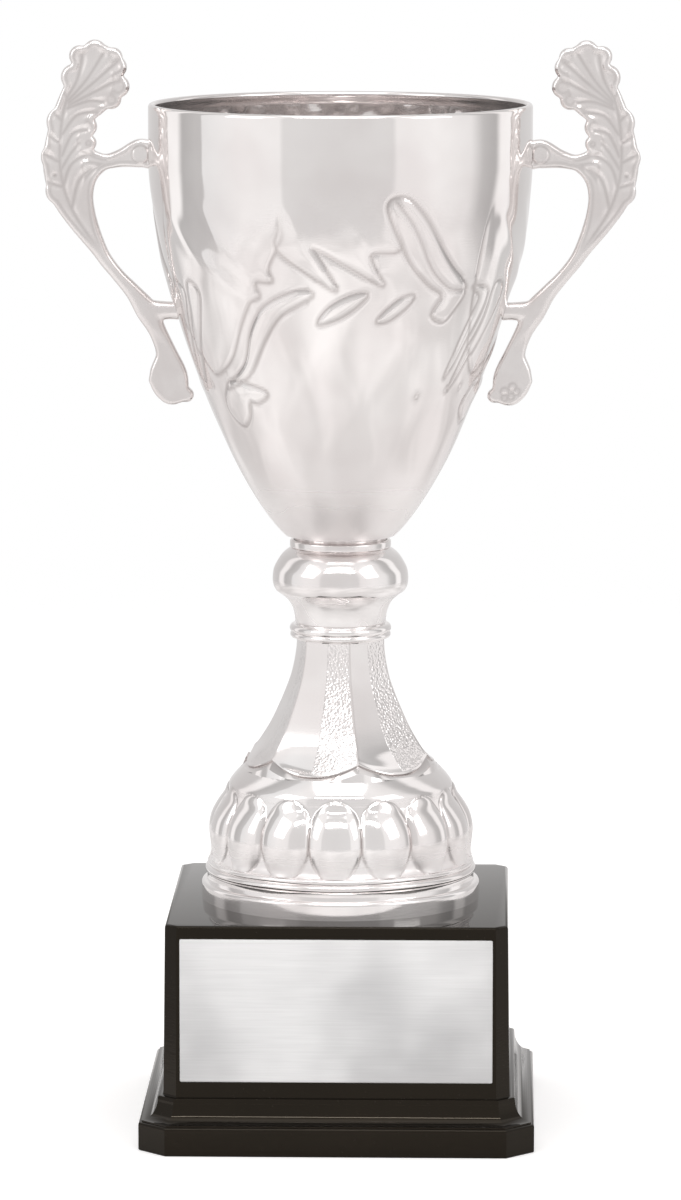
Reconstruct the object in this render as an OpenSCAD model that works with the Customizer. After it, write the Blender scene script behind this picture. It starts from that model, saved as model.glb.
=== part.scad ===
// Two-handled cup trophy: a cup, knob and riser clamped on a square base by one threaded rod.
// Origin: centre of the underside of the base. +Z up, front plate towards -Y, handles along X.

/* [Cup] */
// Outside diameter of the cup at its rim
cup_d = 120; // [100:1:150]
// Height of the cup from its seat to its rim
cup_h = 138.5; // [110:0.5:170]
// Thickness of the cup's metal
cup_wall = 0.9; // [0.6:0.1:1.5]
// Height of the straight band below the rim
lip_h = 19; // [10:1:28]
// Outside diameter of the cup's short neck, which stands in the seat collar
cup_neck_d = 29; // [26:0.5:34]

/* [Handles] */
// Thickness of the handle castings
handle_t = 5.6; // [5:0.2:9]
// Depth of the upper screw below the rim
upper_screw_drop = 16; // [13:0.5:18]
// Depth of the lower screw below the rim
lower_screw_drop = 65; // [60:0.5:68]
// Diameter of the round boss on the upper lug
boss_d = 4.8; // [3:0.2:7]

/* [Stem] */
// Height of the riser, from the base to its neck
riser_h = 82.5; // [70:0.5:110]
// Diameter of the riser's bottom flange
foot_d = 88; // [76:1:100]
// Distance across opposite corners at the top of the hexagonal column
column_d = 29; // [27:0.5:34]
// Number of gadroons round the foot
gadroon_count = 15; // [9:1:21]
// Wall of the hollow riser
riser_wall = 2; // [1.5:0.1:2.5]
// Diameter of the bead ring on the neck
ring_d = 32; // [30:0.5:38]
// Height of the bead ring
ring_h = 5; // [4:0.5:8]
// Greatest diameter of the knob
knob_d = 42.8; // [38:0.2:56]
// Height of the knob
knob_h = 24; // [20:0.5:34]
// Height of the collar that the cup stands in
collar_h = 2.5; // [2:0.1:5]
// Thickness of the collar's floor, under the cup's neck
collar_floor = 1; // [0.8:0.1:1.5]

/* [Base] */
// Width of the plinth, square on plan
plinth_w = 123; // [118:1:150]
// Height of the plinth's upright wall
plinth_h = 9; // [6:0.5:14]
// Height of the cove above the plinth
cove_h = 8; // [5:0.5:14]
// How far the cove runs in from the plinth's wall
cove_in = 6; // [4:0.5:9]
// Width of the flat ledge between the cove and the block
ledge_w = 1.7; // [1:0.1:3]
// Height of the block above the cove
block_h = 54; // [52:1:72]
// Lean of the block's walls in degrees
draft = 0.7; // [0.2:0.1:2]
// Corner chamfer of the plinth, measured along a side
plinth_chamfer = 8.6; // [7.5:0.1:12]
// Wall of the base moulding
base_wall = 3; // [2:0.5:5]
// Thickness of the ballast slab
ballast_t = 9; // [4:1:20]
// Gap round the ballast slab inside the moulding
ballast_gap = 8; // [1:0.5:20]
// Thickness of the closing board
cover_t = 3; // [2:0.5:4]
// Thickness of the felt under the base
felt_t = 1.5; // [1:0.1:2.5]

/* [Plate] */
// Width of the engraving plate
plate_w = 97; // [70:1:98]
// Height of the engraving plate
plate_h = 45; // [30:1:46]
// Thickness of the engraving plate
plate_t = 0.8; // [0.5:0.1:1.5]
// Thickness of the adhesive sheet behind the plate
tape_t = 0.3; // [0.2:0.1:0.5]
// Width of the sunk border round the plate
border_w = 1.6; // [1:0.1:2]
// Depth of the sunk field that the plate lies in
border_depth = 0.6; // [0.4:0.1:1]

/* [Fasteners] */
// Diameter of the threaded rod
rod_d = 6; // [5:0.5:8]
// Distance across the flats of the rod's nuts
nut_af = 10; // [9:0.5:13]
// Thickness of the rod's nuts
nut_t = 5; // [4:0.5:7]
// Diameter of the washer in the cup
bowl_washer_d = 22; // [16:0.5:24]
// Diameter of the washer in the base
base_washer_d = 30; // [20:1:40]
// Thickness of both washers
washer_t = 1.6; // [1:0.2:3]
// How far the rod stands out of its nuts
rod_past = 3; // [1:0.5:6]
// Thread diameter of the handle screws
screw_d = 3; // [2.5:0.5:3.5]
// Length of a handle screw's thread in the casting
screw_grip = 6; // [4:0.5:8]
// Head diameter of the handle screws
screw_head_d = 5.6; // [5:0.2:6.6]
// Head height of the handle screws
screw_head_h = 2.2; // [1.6:0.1:3]
// Diameter of the formed washers under the screw heads
formed_washer_d = 8; // [7:0.5:10]

/* [Fits] */
// Gap round the rod where it passes through a piece, on the radius
rod_gap = 0.2; // [0.1:0.05:0.4]
// Gap round a handle screw in the cup and its washer, on the radius
screw_gap = 0.2; // [0.1:0.05:0.3]
// Gap between pieces that nest in each other, on each side
nest_gap = 0.2; // [0.1:0.05:0.4]

/* [Hidden] */
$fn = 96;

// Heights of the stack, from the table up
base_h = plinth_h + cove_h + block_h;
ring_z = base_h + riser_h;
knob_z = ring_z + ring_h;
collar_z = knob_z + knob_h;
floor_z = collar_z + collar_floor;
rim_z = floor_z + cup_h;

cup_r = cup_d / 2;
neck_r = cup_neck_d / 2;
neck_h = 2.9;
rod_r = rod_d / 2;
rod_hole_r = rod_r + rod_gap;
far = 400;

// ---- Curves ----

// A point on the cubic curve with end points a and d and handles b and c, at share t
function curve_point(a, b, c, d, t) =
    pow(1 - t, 3) * a + 3 * pow(1 - t, 2) * t * b + 3 * (1 - t) * t * t * c + pow(t, 3) * d;

function curve(a, b, c, d, steps) = [for (i = [0 : steps]) curve_point(a, b, c, d, i / steps)];

// Points on an arc about centre, from angle from to angle to
function arc(centre, r, from, to, steps) =
    [for (i = [0 : steps]) centre + r * [cos(from + (to - from) * i / steps),
                                         sin(from + (to - from) * i / steps)]];

// A smooth line through rows of numbers, four of which are p, q, r and s, at share t of q to r
function through(p, q, r, s, t) =
    0.5 * (2 * q + (r - p) * t + (2 * p - 5 * q + 4 * r - s) * t * t
           + (3 * q - p - 3 * r + s) * t * t * t);

function smooth(rows, steps) =
    let (last = len(rows) - 1)
    concat([for (i = [0 : last - 1], k = [0 : steps - 1])
        through(rows[max(i - 1, 0)], rows[i], rows[i + 1], rows[min(i + 2, last)], k / steps)],
        [rows[last]]);

function reversed(list) = [for (i = [len(list) - 1 : -1 : 0]) list[i]];

// ---- Cup ----

// Outer line of the cup's flank, from the lip down to the neck, as radius and height
flank_top_z = rim_z - lip_h;
flank_foot_z = floor_z + neck_h;
flank_h = flank_top_z - flank_foot_z;
flank = curve([cup_r, flank_top_z],
              [cup_r - 1.3, flank_top_z - 0.32 * flank_h],
              [neck_r + 20, flank_foot_z + 0.135 * flank_h],
              [neck_r + 2.8, flank_foot_z], 28);

// The cup's outside radius at a height on its flank or lip
function cup_r_at(z) = z >= flank_top_z ? cup_r : lookup(z, [for (p = flank) [p[1], p[0]]]);

// The flank moved square inwards by the metal's thickness
inner_flank = [for (i = [0 : len(flank) - 1])
    let (d = flank[min(i + 1, len(flank) - 1)] - flank[max(i - 1, 0)])
    flank[i] + cup_wall * [d[1], -d[0]] / norm(d)];

// Solid with the cup's outer shape; it runs past the rim by over
module cup_outside(over) {
    rotate_extrude($fn = 240)
        polygon(concat([[0, rim_z + over], [cup_r, rim_z + over]], flank,
            [[neck_r, flank_foot_z], [neck_r, floor_z], [0, floor_z]]));
}

// Bottom pan inside the cup, where the clamp washer lies
pan_r = neck_r - cup_wall;

module bowl() {
    rim_r = 1.1;
    color("#e3dedc") difference() {
        union() {
            cup_outside(0);
            translate([0, 0, rim_z - rim_r])
                rotate_extrude() translate([cup_r - rim_r, 0]) circle(rim_r, $fn = 24);
        }
        cup_inside();
        translate([0, 0, floor_z - 1]) cylinder(r = rod_hole_r, h = far);
        at_screws() cylinder(r = screw_d / 2 + screw_gap, h = 20, center = true, $fn = 32);
    }
}

// The hollow of the cup: everything inside its metal, open at the top
module cup_inside() {
    rotate_extrude($fn = 240)
        polygon(concat([[0, rim_z + 5], [cup_r - 2 * cup_wall, rim_z + 5],
                        [cup_r - 2 * cup_wall, rim_z - 2], [cup_r - cup_wall, rim_z - 3]],
            [for (p = inner_flank) if (p[1] > flank_foot_z + cup_wall) p],
            [[pan_r, flank_foot_z + cup_wall], [pan_r, floor_z + cup_wall],
             [0, floor_z + cup_wall]]));
}

// ---- Clamp in the cup ----

module washer(r, z) {
    translate([0, 0, z]) difference() {
        cylinder(r = r, h = washer_t);
        translate([0, 0, -1]) cylinder(r = rod_hole_r, h = washer_t + 2);
    }
}

module nut(z) {
    translate([0, 0, z]) difference() {
        cylinder(d = nut_af / cos(30), h = nut_t, $fn = 6);
        translate([0, 0, -1]) cylinder(r = rod_r, h = nut_t + 2);
    }
}

bowl_washer_z = floor_z + cup_wall;
bowl_nut_z = bowl_washer_z + washer_t;

module bowl_washer() {
    color("#b8babd") washer(bowl_washer_d / 2, bowl_washer_z);
}

module bowl_nut() {
    color("#b8babd") nut(bowl_nut_z);
}

// ---- Handles ----

// Handle points are given beside the cup: gap out from its wall, and drop below its rim
function beside_cup(gap, drop) = [cup_r_at(rim_z - drop) + gap, rim_z - drop];

// Band of varying width along a smooth line: each row is gap, drop and half-width
function band(rows) =
    let (line = [for (s = smooth(rows, 4)) concat(beside_cup(s[0], s[1]), s[2])],
         last = len(line) - 1,
         side = [for (i = [0 : last])
             let (d = line[min(i + 1, last)] - line[max(i - 1, 0)], size = norm([d[0], d[1]]))
             [-d[1], d[0]] / size * line[i][2]])
    concat([for (i = [0 : last]) [line[i][0], line[i][1]] + side[i]],
           [for (i = [last : -1 : 0]) [line[i][0], line[i][1]] - side[i]]);

// Main rib of the handle, from the foot leaf up to the tip of the big leaf
rib = [[10.9, 90.5, 4.2], [10.1, 86, 5.2], [7.6, 79, 3.4], [7.9, 72, 2.7], [9.4, 65, 3.4],
       [11.8, 59.5, 2.5], [15, 54.4, 2], [17.8, 49.5, 2.1], [19.6, 45, 2.6], [22.9, 36, 4.6],
       [25, 27.5, 6.6], [26, 19, 7], [26, 11, 5.8], [22.5, 2, 6.4], [17.5, -5, 8],
       [16.2, -12, 6.6]];

// Arm from the upper lug to the rib, and lower lug; both run into the cup and are cut to fit it
function upper_arm() =
    let (d = upper_screw_drop)
    [[-3, d, 4], [2.8, d - 0.2, 4.4], [8.5, d + 1.3, 2.8], [14, d + 2.3, 2.3], [21, d + 0.5, 3.2]];
function lower_lug() =
    let (d = lower_screw_drop) [[-4, d, 2.8], [2, d, 2.8], [9, d, 3.2]];

// Rounded lobes of the leaves: gap, drop and radius
lobes = [[28.5, 27.5, 4.4], [29.2, 17, 4.4], [27.2, 6, 4.6], [23.2, -8, 4], [21.4, -14.6, 3.2],
         [16.6, -16, 3.6], [11, -14.2, 3], [9.8, -11, 3.2], [9.2, -5, 3.4], [11.4, -1, 3],
         [19.2, 7.5, 3.2], [18.6, 12.6, 2.4],
         [14.6, 86.6, 2.4], [11.6, 90.6, 3], [7.4, 91, 3]];

module handle_outline() {
    polygon(band(rib));
    polygon(band(upper_arm()));
    polygon(band(lower_lug()));
    for (l = lobes) translate(beside_cup(l[0], l[1])) circle(l[2], $fn = 32);
}

// Lean of the cup's wall at a drop below the rim, in degrees
function wall_lean(drop) =
    let (step = 1, z = rim_z - drop) atan((cup_r_at(z + step) - cup_r_at(z - step)) / (2 * step));

// Places its child on a handle screw's axis on the +X side: origin on the cup's outside, +Z outwards
module at_screw(drop) {
    p = beside_cup(0, drop);
    translate([p[0], 0, p[1]]) rotate([0, 90 + wall_lean(drop), 0]) children();
}

module at_screws() {
    for (turn = [0, 180], drop = [upper_screw_drop, lower_screw_drop])
        rotate([0, 0, turn]) at_screw(drop) children();
}

module handle() {
    boss = beside_cup(2.6, upper_screw_drop);
    color("#dcd7d6") difference() {
        union() {
            rotate([90, 0, 0]) linear_extrude(handle_t, center = true) handle_outline();
            translate([boss[0], 0, boss[1]]) rotate([90, 0, 0])
                cylinder(d = boss_d, h = handle_t + 1.2, center = true);
        }
        cup_outside(30);
        for (drop = [upper_screw_drop, lower_screw_drop])
            at_screw(drop) translate([0, 0, -1])
                cylinder(d = screw_d, h = screw_grip + 1.5, $fn = 32);
    }
}

module handle_right() {
    handle();
}

module handle_left() {
    rotate([0, 0, 180]) handle();
}

// A formed washer is flat towards the screw head and shaped to the cup's inner wall on the other side
seat_back = cup_wall + 1.2;

module handle_washers() {
    color("#b8babd") intersection() {
        at_screws() translate([0, 0, -seat_back]) difference() {
            cylinder(d = formed_washer_d, h = 3, $fn = 48);
            translate([0, 0, -1]) cylinder(r = screw_d / 2 + screw_gap, h = 6, $fn = 32);
        }
        cup_inside();
    }
}

module handle_screws() {
    slot_w = 0.8;
    color("#b8babd") at_screws() {
        translate([0, 0, -seat_back]) cylinder(d = screw_d, h = seat_back + screw_grip, $fn = 32);
        translate([0, 0, -seat_back - screw_head_h]) difference() {
            cylinder(d = screw_head_d, h = screw_head_h, $fn = 48);
            for (turn = [0, 90]) rotate([0, 0, turn])
                translate([-1.8, -slot_w / 2, -1]) cube([3.6, slot_w, 1 + screw_head_h / 2]);
        }
    }
}

// ---- Knob, ring and collar ----

module turned(points) {
    rotate_extrude() polygon(points);
}

// Ring that the cup's neck stands in
module seat_collar() {
    outer_r = neck_r + 1.4;
    color("#e3dedc") difference() {
        translate([0, 0, collar_z])
            turned(concat([[0, 0], [outer_r - 0.6, 0]],
                arc([outer_r - 0.6, 0.6], 0.6, -90, 0, 6),
                arc([outer_r - 0.8, collar_h - 0.8], 0.8, 0, 90, 6),
                [[0, collar_h]]));
        translate([0, 0, floor_z]) cylinder(r = neck_r + nest_gap, h = far);
        translate([0, 0, collar_z - 1]) cylinder(r = rod_hole_r, h = far);
    }
}

// Outline of the knob: waist, flared underside, sharp crease, then the round shoulder
module knob() {
    r = knob_d / 2;
    waist_r = neck_r - 0.2;
    crease_z = 0.42 * knob_h;
    widest_z = crease_z + 0.17 * knob_h;
    top_r = neck_r + 1.3;
    color("#e3dedc") difference() {
        translate([0, 0, knob_z])
            turned(concat([[0, 0], [waist_r, 0]],
                curve([waist_r, 2], [waist_r + 0.4, crease_z - 4], [waist_r + 2.4, crease_z - 2],
                      [r - 1.3, crease_z], 8),
                arc([r - 2.6, widest_z - 0.6], 2.6, -24, 0, 4),
                curve([r, widest_z], [r - 0.1, widest_z + 0.13 * knob_h],
                      [top_r + 2.6, knob_h - 3.4], [top_r, knob_h - 2], 8),
                [[top_r, knob_h], [0, knob_h]]));
        translate([0, 0, knob_z - 1]) cylinder(r = rod_hole_r, h = knob_h + 2);
    }
}

module neck_ring() {
    bead_r = ring_h / 2;
    color("#e3dedc") difference() {
        translate([0, 0, ring_z])
            turned(concat([[0, 0]],
                arc([ring_d / 2 - bead_r, bead_r], bead_r, -90, 90, 16),
                [[0, ring_h]]));
        translate([0, 0, ring_z - 1]) cylinder(r = rod_hole_r, h = ring_h + 2);
    }
}

// ---- Riser ----

foot_r = foot_d / 2;
gadroon_r = 12;
gadroon_z = 23;
dome_top_z = 40;
column_turn = 13;
column_top_r = column_d / 2;
column_foot_r = foot_r - 12.2;

// Bands and dome of the foot, as radius and height above the base
foot_line = concat(
    [[foot_r, 0], [foot_r, 4.6]],
    arc([foot_r - 1.4, 4.6], 1.4, 0, 90, 4),
    [[foot_r - 1.8, 6.6], [foot_r - 1.8, 8.4]],
    arc([foot_r - 2.4, 9.6], 1.2, -60, 60, 5),
    arc([foot_r - 2.8, 12], 1.1, -60, 60, 5),
    [[foot_r - 4, 13.6]],
    curve([foot_r - 4, 16], [foot_r - 3.8, 27], [foot_r - 6, 34], [column_foot_r + 1.4, dome_top_z], 10));

// Half the distance across the flats of the column, with its height above the base
column_line = curve([column_foot_r * cos(30), dome_top_z],
                    [column_top_r + 3, dome_top_z + 0.22 * riser_h],
                    [column_top_r * cos(30) + 0.8, riser_h - 24],
                    [column_top_r * cos(30), riser_h], 14);

// Six-sided column: three double-sided prisms share only the part inside all of their flanks
module column() {
    outline = concat(column_line, [for (p = reversed(column_line)) [-p[0], p[1]]]);
    translate([0, 0, base_h]) rotate([0, 0, column_turn]) intersection_for(turn = [0, 60, 120])
        rotate([0, 0, turn]) rotate([90, 0, 0]) linear_extrude(2 * foot_r, center = true)
            polygon(outline);
}

module gadroons() {
    for (k = [0 : gadroon_count - 1])
        rotate([0, 0, -90 + (k + 0.96) * 360 / gadroon_count])
            translate([foot_r - 1.4 - gadroon_r, 0, base_h + gadroon_z]) sphere(gadroon_r, $fn = 48);
}

// Hollow of the riser, open below, with a bulkhead left at the neck
module riser_hollow() {
    bulkhead = 4;
    apothem = column_top_r * cos(30);
    translate([0, 0, base_h])
        turned(concat([[0, -1], [foot_r - 4 - riser_wall, -1], [foot_r - 4 - riser_wall, 24]],
            [[column_foot_r * cos(30) - riser_wall, dome_top_z],
             [column_top_r * cos(30) + 3.4 - riser_wall, dome_top_z + 0.36 * (riser_h - dome_top_z)],
             [apothem - riser_wall, riser_h - bulkhead - 12],
             [apothem - riser_wall, riser_h - bulkhead],
             [0, riser_h - bulkhead]]));
}

module riser() {
    color("#e3dedc") difference() {
        union() {
            translate([0, 0, base_h])
                turned(concat([[0, 0]], foot_line, [[0, dome_top_z]]));
            gadroons();
            column();
        }
        riser_hollow();
        translate([0, 0, base_h]) cylinder(r = rod_hole_r, h = riser_h + 1);
    }
}

// ---- Base ----

block_z = plinth_h + cove_h;
block_in = cove_in + ledge_w;
block_foot_w = plinth_w - 2 * block_in;
block_top_w = block_foot_w - 2 * block_h * tan(draft);

// Side of the corner chamfer on a cut square drawn in from the plinth's outline by d
function chamfer_at(d) = max(1, plinth_chamfer - (2 - sqrt(2)) * d);

// Square outline with its corners cut off, in from the plinth's outline by d
module cut_square(d) {
    h = plinth_w / 2 - d;
    c = h - chamfer_at(d);
    polygon([[h, -c], [h, c], [c, h], [-c, h], [-h, c], [-h, -c], [-c, -h], [c, -h]]);
}

// Runs its 2D child, drawn as distance out from the plinth's wall and height, along the
// eight sides of the outline
module along_sides() {
    corner_out = (plinth_w - plinth_chamfer) / sqrt(2);
    for (k = [0 : 7])
        rotate([0, 0, 45 * k]) translate([k % 2 == 0 ? plinth_w / 2 : corner_out, 0, 0])
            rotate([90, 0, 0]) linear_extrude(2 * plinth_w, center = true) children();
}

// Plinth: upright wall with a rounded edge, a small step, then the hollow cove
module plinth() {
    step_in = 1;
    edge = 0.6;
    out = 8;
    difference() {
        linear_extrude(block_z) cut_square(0);
        along_sides()
            polygon(concat([[out, block_z + 1], [out, plinth_h - edge], [0, plinth_h - edge]],
                arc([-edge, plinth_h - edge], edge, 22.5, 90, 3),
                [[-step_in, plinth_h]],
                [for (i = [0 : 8]) let (turn = -90 - 10 * i)
                    [-step_in + (cove_in - step_in) * cos(turn),
                     block_z - 0.6 + (cove_h - 1.1) * sin(turn)]],
                [[-cove_in, block_z - 0.6], [-cove_in, block_z + 1]]));
    }
}

// Block: its walls lean in by the draft from the ledge up, and its top edge is rounded
module block() {
    edge = 1.2;
    out = 8;
    sunk = 1;
    top_x = -block_in - block_h * tan(draft);
    difference() {
        translate([0, 0, block_z - sunk]) linear_extrude(block_h + sunk) cut_square(block_in);
        along_sides()
            polygon(concat([[out, base_h + 1], [out, block_z - sunk],
                            [-block_in + sunk * tan(draft), block_z - sunk]],
                arc([top_x - edge, base_h - edge], edge, 0, 90, 5),
                [[top_x - edge, base_h + 1]]));
    }
}

// Places its child on the leaning front wall: x across, y up the wall, z out of the wall
module on_front() {
    translate([0, -block_foot_w / 2, block_z]) rotate([90 - draft, 0, 0]) children();
}

plate_mid = 27.5;

module front_sheet(w, h, from, to) {
    on_front() translate([-w / 2, plate_mid - h / 2, from]) cube([w, h, to - from]);
}

// The hollow of the moulding, open below, with a wider pocket for the board and the felt
module base_hollow() {
    block_inner = (plinth_w - block_top_w) / 2 + base_wall;
    translate([0, 0, -1]) linear_extrude(base_h - base_wall + 1) cut_square(block_inner);
    translate([0, 0, -1]) linear_extrude(cover_t + felt_t + 1) cut_square(base_wall);
}

module base_shell() {
    color("#2a2320") difference() {
        union() {
            plinth();
            block();
        }
        base_hollow();
        front_sheet(plate_w + 2 * border_w, plate_h + 2 * border_w, -border_depth, 5);
        translate([0, 0, base_h - base_wall - 1]) cylinder(r = rod_hole_r, h = base_wall + 2);
    }
}

ballast_z = base_h - base_wall - ballast_t;
base_washer_z = ballast_z - washer_t;
base_nut_z = base_washer_z - nut_t;

module ballast() {
    ballast_in = (plinth_w - block_top_w) / 2 + base_wall + ballast_gap;
    color("#6d6a66") translate([0, 0, ballast_z]) difference() {
        linear_extrude(ballast_t) cut_square(ballast_in);
        translate([0, 0, -1]) cylinder(r = rod_hole_r, h = ballast_t + 2);
    }
}

module base_washer() {
    color("#b8babd") washer(base_washer_d / 2, base_washer_z);
}

module base_nut() {
    color("#b8babd") nut(base_nut_z);
}

module tie_rod() {
    rod_z = base_nut_z - rod_past;
    color("#b8babd") translate([0, 0, rod_z])
        cylinder(r = rod_r, h = bowl_nut_z + nut_t + rod_past - rod_z);
}

module under_sheet(z, t) {
    translate([0, 0, z]) linear_extrude(t) cut_square(base_wall + nest_gap);
}

module base_cover() {
    color("#8a6f52") under_sheet(felt_t, cover_t);
}

module felt_pad() {
    color("#1f3b2a") under_sheet(0, felt_t);
}

// ---- Plate ----

module plate() {
    color("#d9d9d9") front_sheet(plate_w, plate_h, tape_t - border_depth, tape_t - border_depth + plate_t);
}

module plate_tape() {
    tape_in = 1;
    color("#efe9dc")
        front_sheet(plate_w - 2 * tape_in, plate_h - 2 * tape_in, -border_depth, tape_t - border_depth);
}

bowl();
bowl_washer();
bowl_nut();
handle_left();
handle_right();
handle_screws();
handle_washers();
seat_collar();
knob();
neck_ring();
riser();
tie_rod();
base_shell();
ballast();
base_washer();
base_nut();
base_cover();
felt_pad();
plate();
plate_tape();
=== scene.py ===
import math

import bmesh
import bpy
import numpy as np
from mathutils import Matrix, Vector


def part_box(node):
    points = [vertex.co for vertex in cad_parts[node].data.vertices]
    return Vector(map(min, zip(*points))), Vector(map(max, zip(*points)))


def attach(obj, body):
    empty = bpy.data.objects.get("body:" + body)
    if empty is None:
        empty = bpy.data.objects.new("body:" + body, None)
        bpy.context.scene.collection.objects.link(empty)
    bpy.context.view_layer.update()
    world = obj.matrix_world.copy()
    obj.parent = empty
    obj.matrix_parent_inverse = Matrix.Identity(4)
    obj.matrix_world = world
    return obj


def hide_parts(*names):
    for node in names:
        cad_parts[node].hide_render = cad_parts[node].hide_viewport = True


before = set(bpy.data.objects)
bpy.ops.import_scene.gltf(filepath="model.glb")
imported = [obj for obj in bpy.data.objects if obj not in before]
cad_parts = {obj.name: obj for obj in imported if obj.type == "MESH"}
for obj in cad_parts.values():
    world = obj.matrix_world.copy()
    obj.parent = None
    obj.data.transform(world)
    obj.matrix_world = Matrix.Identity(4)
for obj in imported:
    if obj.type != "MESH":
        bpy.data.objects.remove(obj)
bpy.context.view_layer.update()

# Shapes are worked out in millimetres and turned into metres when a piece is finished
metres = 0.001
rodHole = 3.2     # radius of the hole for the threaded rod, in each piece on it
ringSteps = 192   # steps round a small turned ring


def cadBox(node):
    low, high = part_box(node)
    return low / metres, high / metres


def curvePoints(a, b, c, d, steps):
    # points on a cubic curve from a to d, pulled by b and c
    points = []
    for i in range(steps + 1):
        t = i / steps
        s = 1 - t
        weights = (s ** 3, 3 * s * s * t, 3 * s * t * t, t ** 3)
        points.append(tuple(sum(w * p[k] for w, p in zip(weights, (a, b, c, d))) for k in range(2)))
    return points


def arcPoints(centre, radius, start, end, steps):
    points = []
    for i in range(steps + 1):
        turn = math.radians(start + (end - start) * i / steps)
        points.append((centre[0] + radius * math.cos(turn), centre[1] + radius * math.sin(turn)))
    return points


def smoothRow(rows, steps, closed=False):
    # a smooth line through a few rows of numbers
    rows = np.array(rows, float)
    count = len(rows)
    out = []
    for i in range(count if closed else count - 1):
        if closed:
            p, q, r, s = (rows[(i + k) % count] for k in (-1, 0, 1, 2))
        else:
            p, q, r, s = (rows[min(max(i + k, 0), count - 1)] for k in (-1, 0, 1, 2))
        for k in range(steps):
            t = k / steps
            out.append(0.5 * (2 * q + (r - p) * t + (2 * p - 5 * q + 4 * r - s) * t * t
                              + (3 * q - p - 3 * r + s) * t ** 3))
    if not closed:
        out.append(rows[-1])
    return np.array(out)


def ease(value, low, high):
    # 0 below low, 1 above high, smooth between
    t = np.clip((value - low) / (high - low), 0, 1)
    return t * t * (3 - 2 * t)


def bump(value, width):
    return np.exp(-(value / width) ** 2)


def lineDistance(x, y, line, widths=None):
    # distance from each place to a line, less the line's own half-width where it has one
    best = np.full(x.shape, 1e9)
    for i in range(len(line) - 1):
        ax, ay = line[i][:2]
        dx, dy = line[i + 1][0] - ax, line[i + 1][1] - ay
        t = np.clip(((x - ax) * dx + (y - ay) * dy) / max(dx * dx + dy * dy, 1e-9), 0, 1)
        gap = np.hypot(x - ax - t * dx, y - ay - t * dy)
        if widths is not None:
            gap = gap - (widths[i] + t * (widths[i + 1] - widths[i]))
        best = np.minimum(best, gap)
    return best


def insideDistance(x, y, outline):
    # how far inside a closed outline each place lies; negative outside
    closed = list(outline) + [outline[0]]
    inside = np.zeros(x.shape, bool)
    for i in range(len(outline)):
        ax, ay = closed[i][:2]
        bx, by = closed[i + 1][:2]
        if ay == by:
            continue
        crosses = (ay > y) != (by > y)
        inside ^= crosses & (x < (bx - ax) * (y - ay) / (by - ay) + ax)
    gap = lineDistance(x, y, closed)
    return np.where(inside, gap, -gap)


def nearShape(x, y, points, margin):
    # which places lie near a shape, so that only those are measured
    low, high = np.min(np.array(points)[:, :2], 0), np.max(np.array(points)[:, :2], 0)
    return ((x > low[0] - margin) & (x < high[0] + margin)
            & (y > low[1] - margin) & (y < high[1] + margin))


def chain(bm, points):
    # a line of vertices and edges from (radius, height) points, facing the front
    verts = [bm.verts.new((0, -r, z)) for r, z in points]
    return verts, [bm.edges.new((a, b)) for a, b in zip(verts, verts[1:])]


def spinChain(bm, points, steps, sectors=12):
    # one sector is spun, then copied round and joined: much quicker than one long spin
    verts, edges = chain(bm, points)
    share = 2 * math.pi / sectors
    bmesh.ops.spin(bm, geom=verts + edges, cent=(0, 0, 0), axis=(0, 0, 1), dvec=(0, 0, 0),
                   angle=share, steps=steps // sectors, use_merge=False, use_duplicate=False)
    grown = set(verts)
    front = set(verts)
    while front:
        front = {v for f in {f for v in front for f in v.link_faces} for v in f.verts} - grown
        grown |= front
    faces = {f for v in grown for f in v.link_faces}
    sector = list(grown) + list({e for f in faces for e in f.edges}) + list(faces)
    joined = list(grown)
    for k in range(1, sectors):
        copy = bmesh.ops.duplicate(bm, geom=sector)["geom"]
        copied = [g for g in copy if isinstance(g, bmesh.types.BMVert)]
        bmesh.ops.rotate(bm, verts=copied, cent=(0, 0, 0), matrix=Matrix.Rotation(share * k, 3, "Z"))
        joined += copied
    bmesh.ops.remove_doubles(bm, verts=joined, dist=0.0004)


def boundaryLoops(bm):
    return [e for e in bm.edges if len(e.link_faces) == 1]


def lathe(points, steps):
    # a turned ring whose outline comes back to its first point
    bm = bmesh.new()
    spinChain(bm, list(points) + [points[0]], steps)
    bmesh.ops.remove_doubles(bm, verts=bm.verts, dist=0.001)
    bmesh.ops.recalc_face_normals(bm, faces=bm.faces)
    return bm


def coordinates(mesh):
    co = np.zeros(len(mesh.vertices) * 3)
    mesh.vertices.foreach_get("co", co)
    return co.reshape(-1, 3)


def setCoordinates(mesh, co):
    mesh.vertices.foreach_set("co", co.reshape(-1))
    mesh.update()


def paint(mesh, name, values):
    layer = mesh.attributes.new(name, "FLOAT", "POINT")
    layer.data.foreach_set("value", np.ascontiguousarray(values, dtype=np.float32))


def makeObject(name, bm):
    mesh = bpy.data.meshes.new(name)
    bm.to_mesh(mesh)
    bm.free()
    piece = bpy.data.objects.new(name, mesh)
    bpy.context.scene.collection.objects.link(piece)
    return piece


def finishPiece(piece, node, material, sharpAngle=35):
    # to metres, smooth shaded with crisp edges kept, standing for its CAD node
    mesh = piece.data
    mesh.transform(Matrix.Scale(metres, 4))
    mesh.shade_smooth()
    mesh.set_sharp_from_angle(angle=math.radians(sharpAngle))
    mesh.materials.clear()
    mesh.materials.append(material)
    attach(piece, "root")
    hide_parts(node)


def addNode(tree, kind, values=None, **settings):
    node = tree.nodes.new(kind)
    for key, value in settings.items():
        setattr(node, key, value)
    for key, value in (values or {}).items():
        node.inputs[key].default_value = value
    return node


def wire(tree, source, output, target, entry):
    tree.links.new(source.outputs[output], target.inputs[entry])


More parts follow.
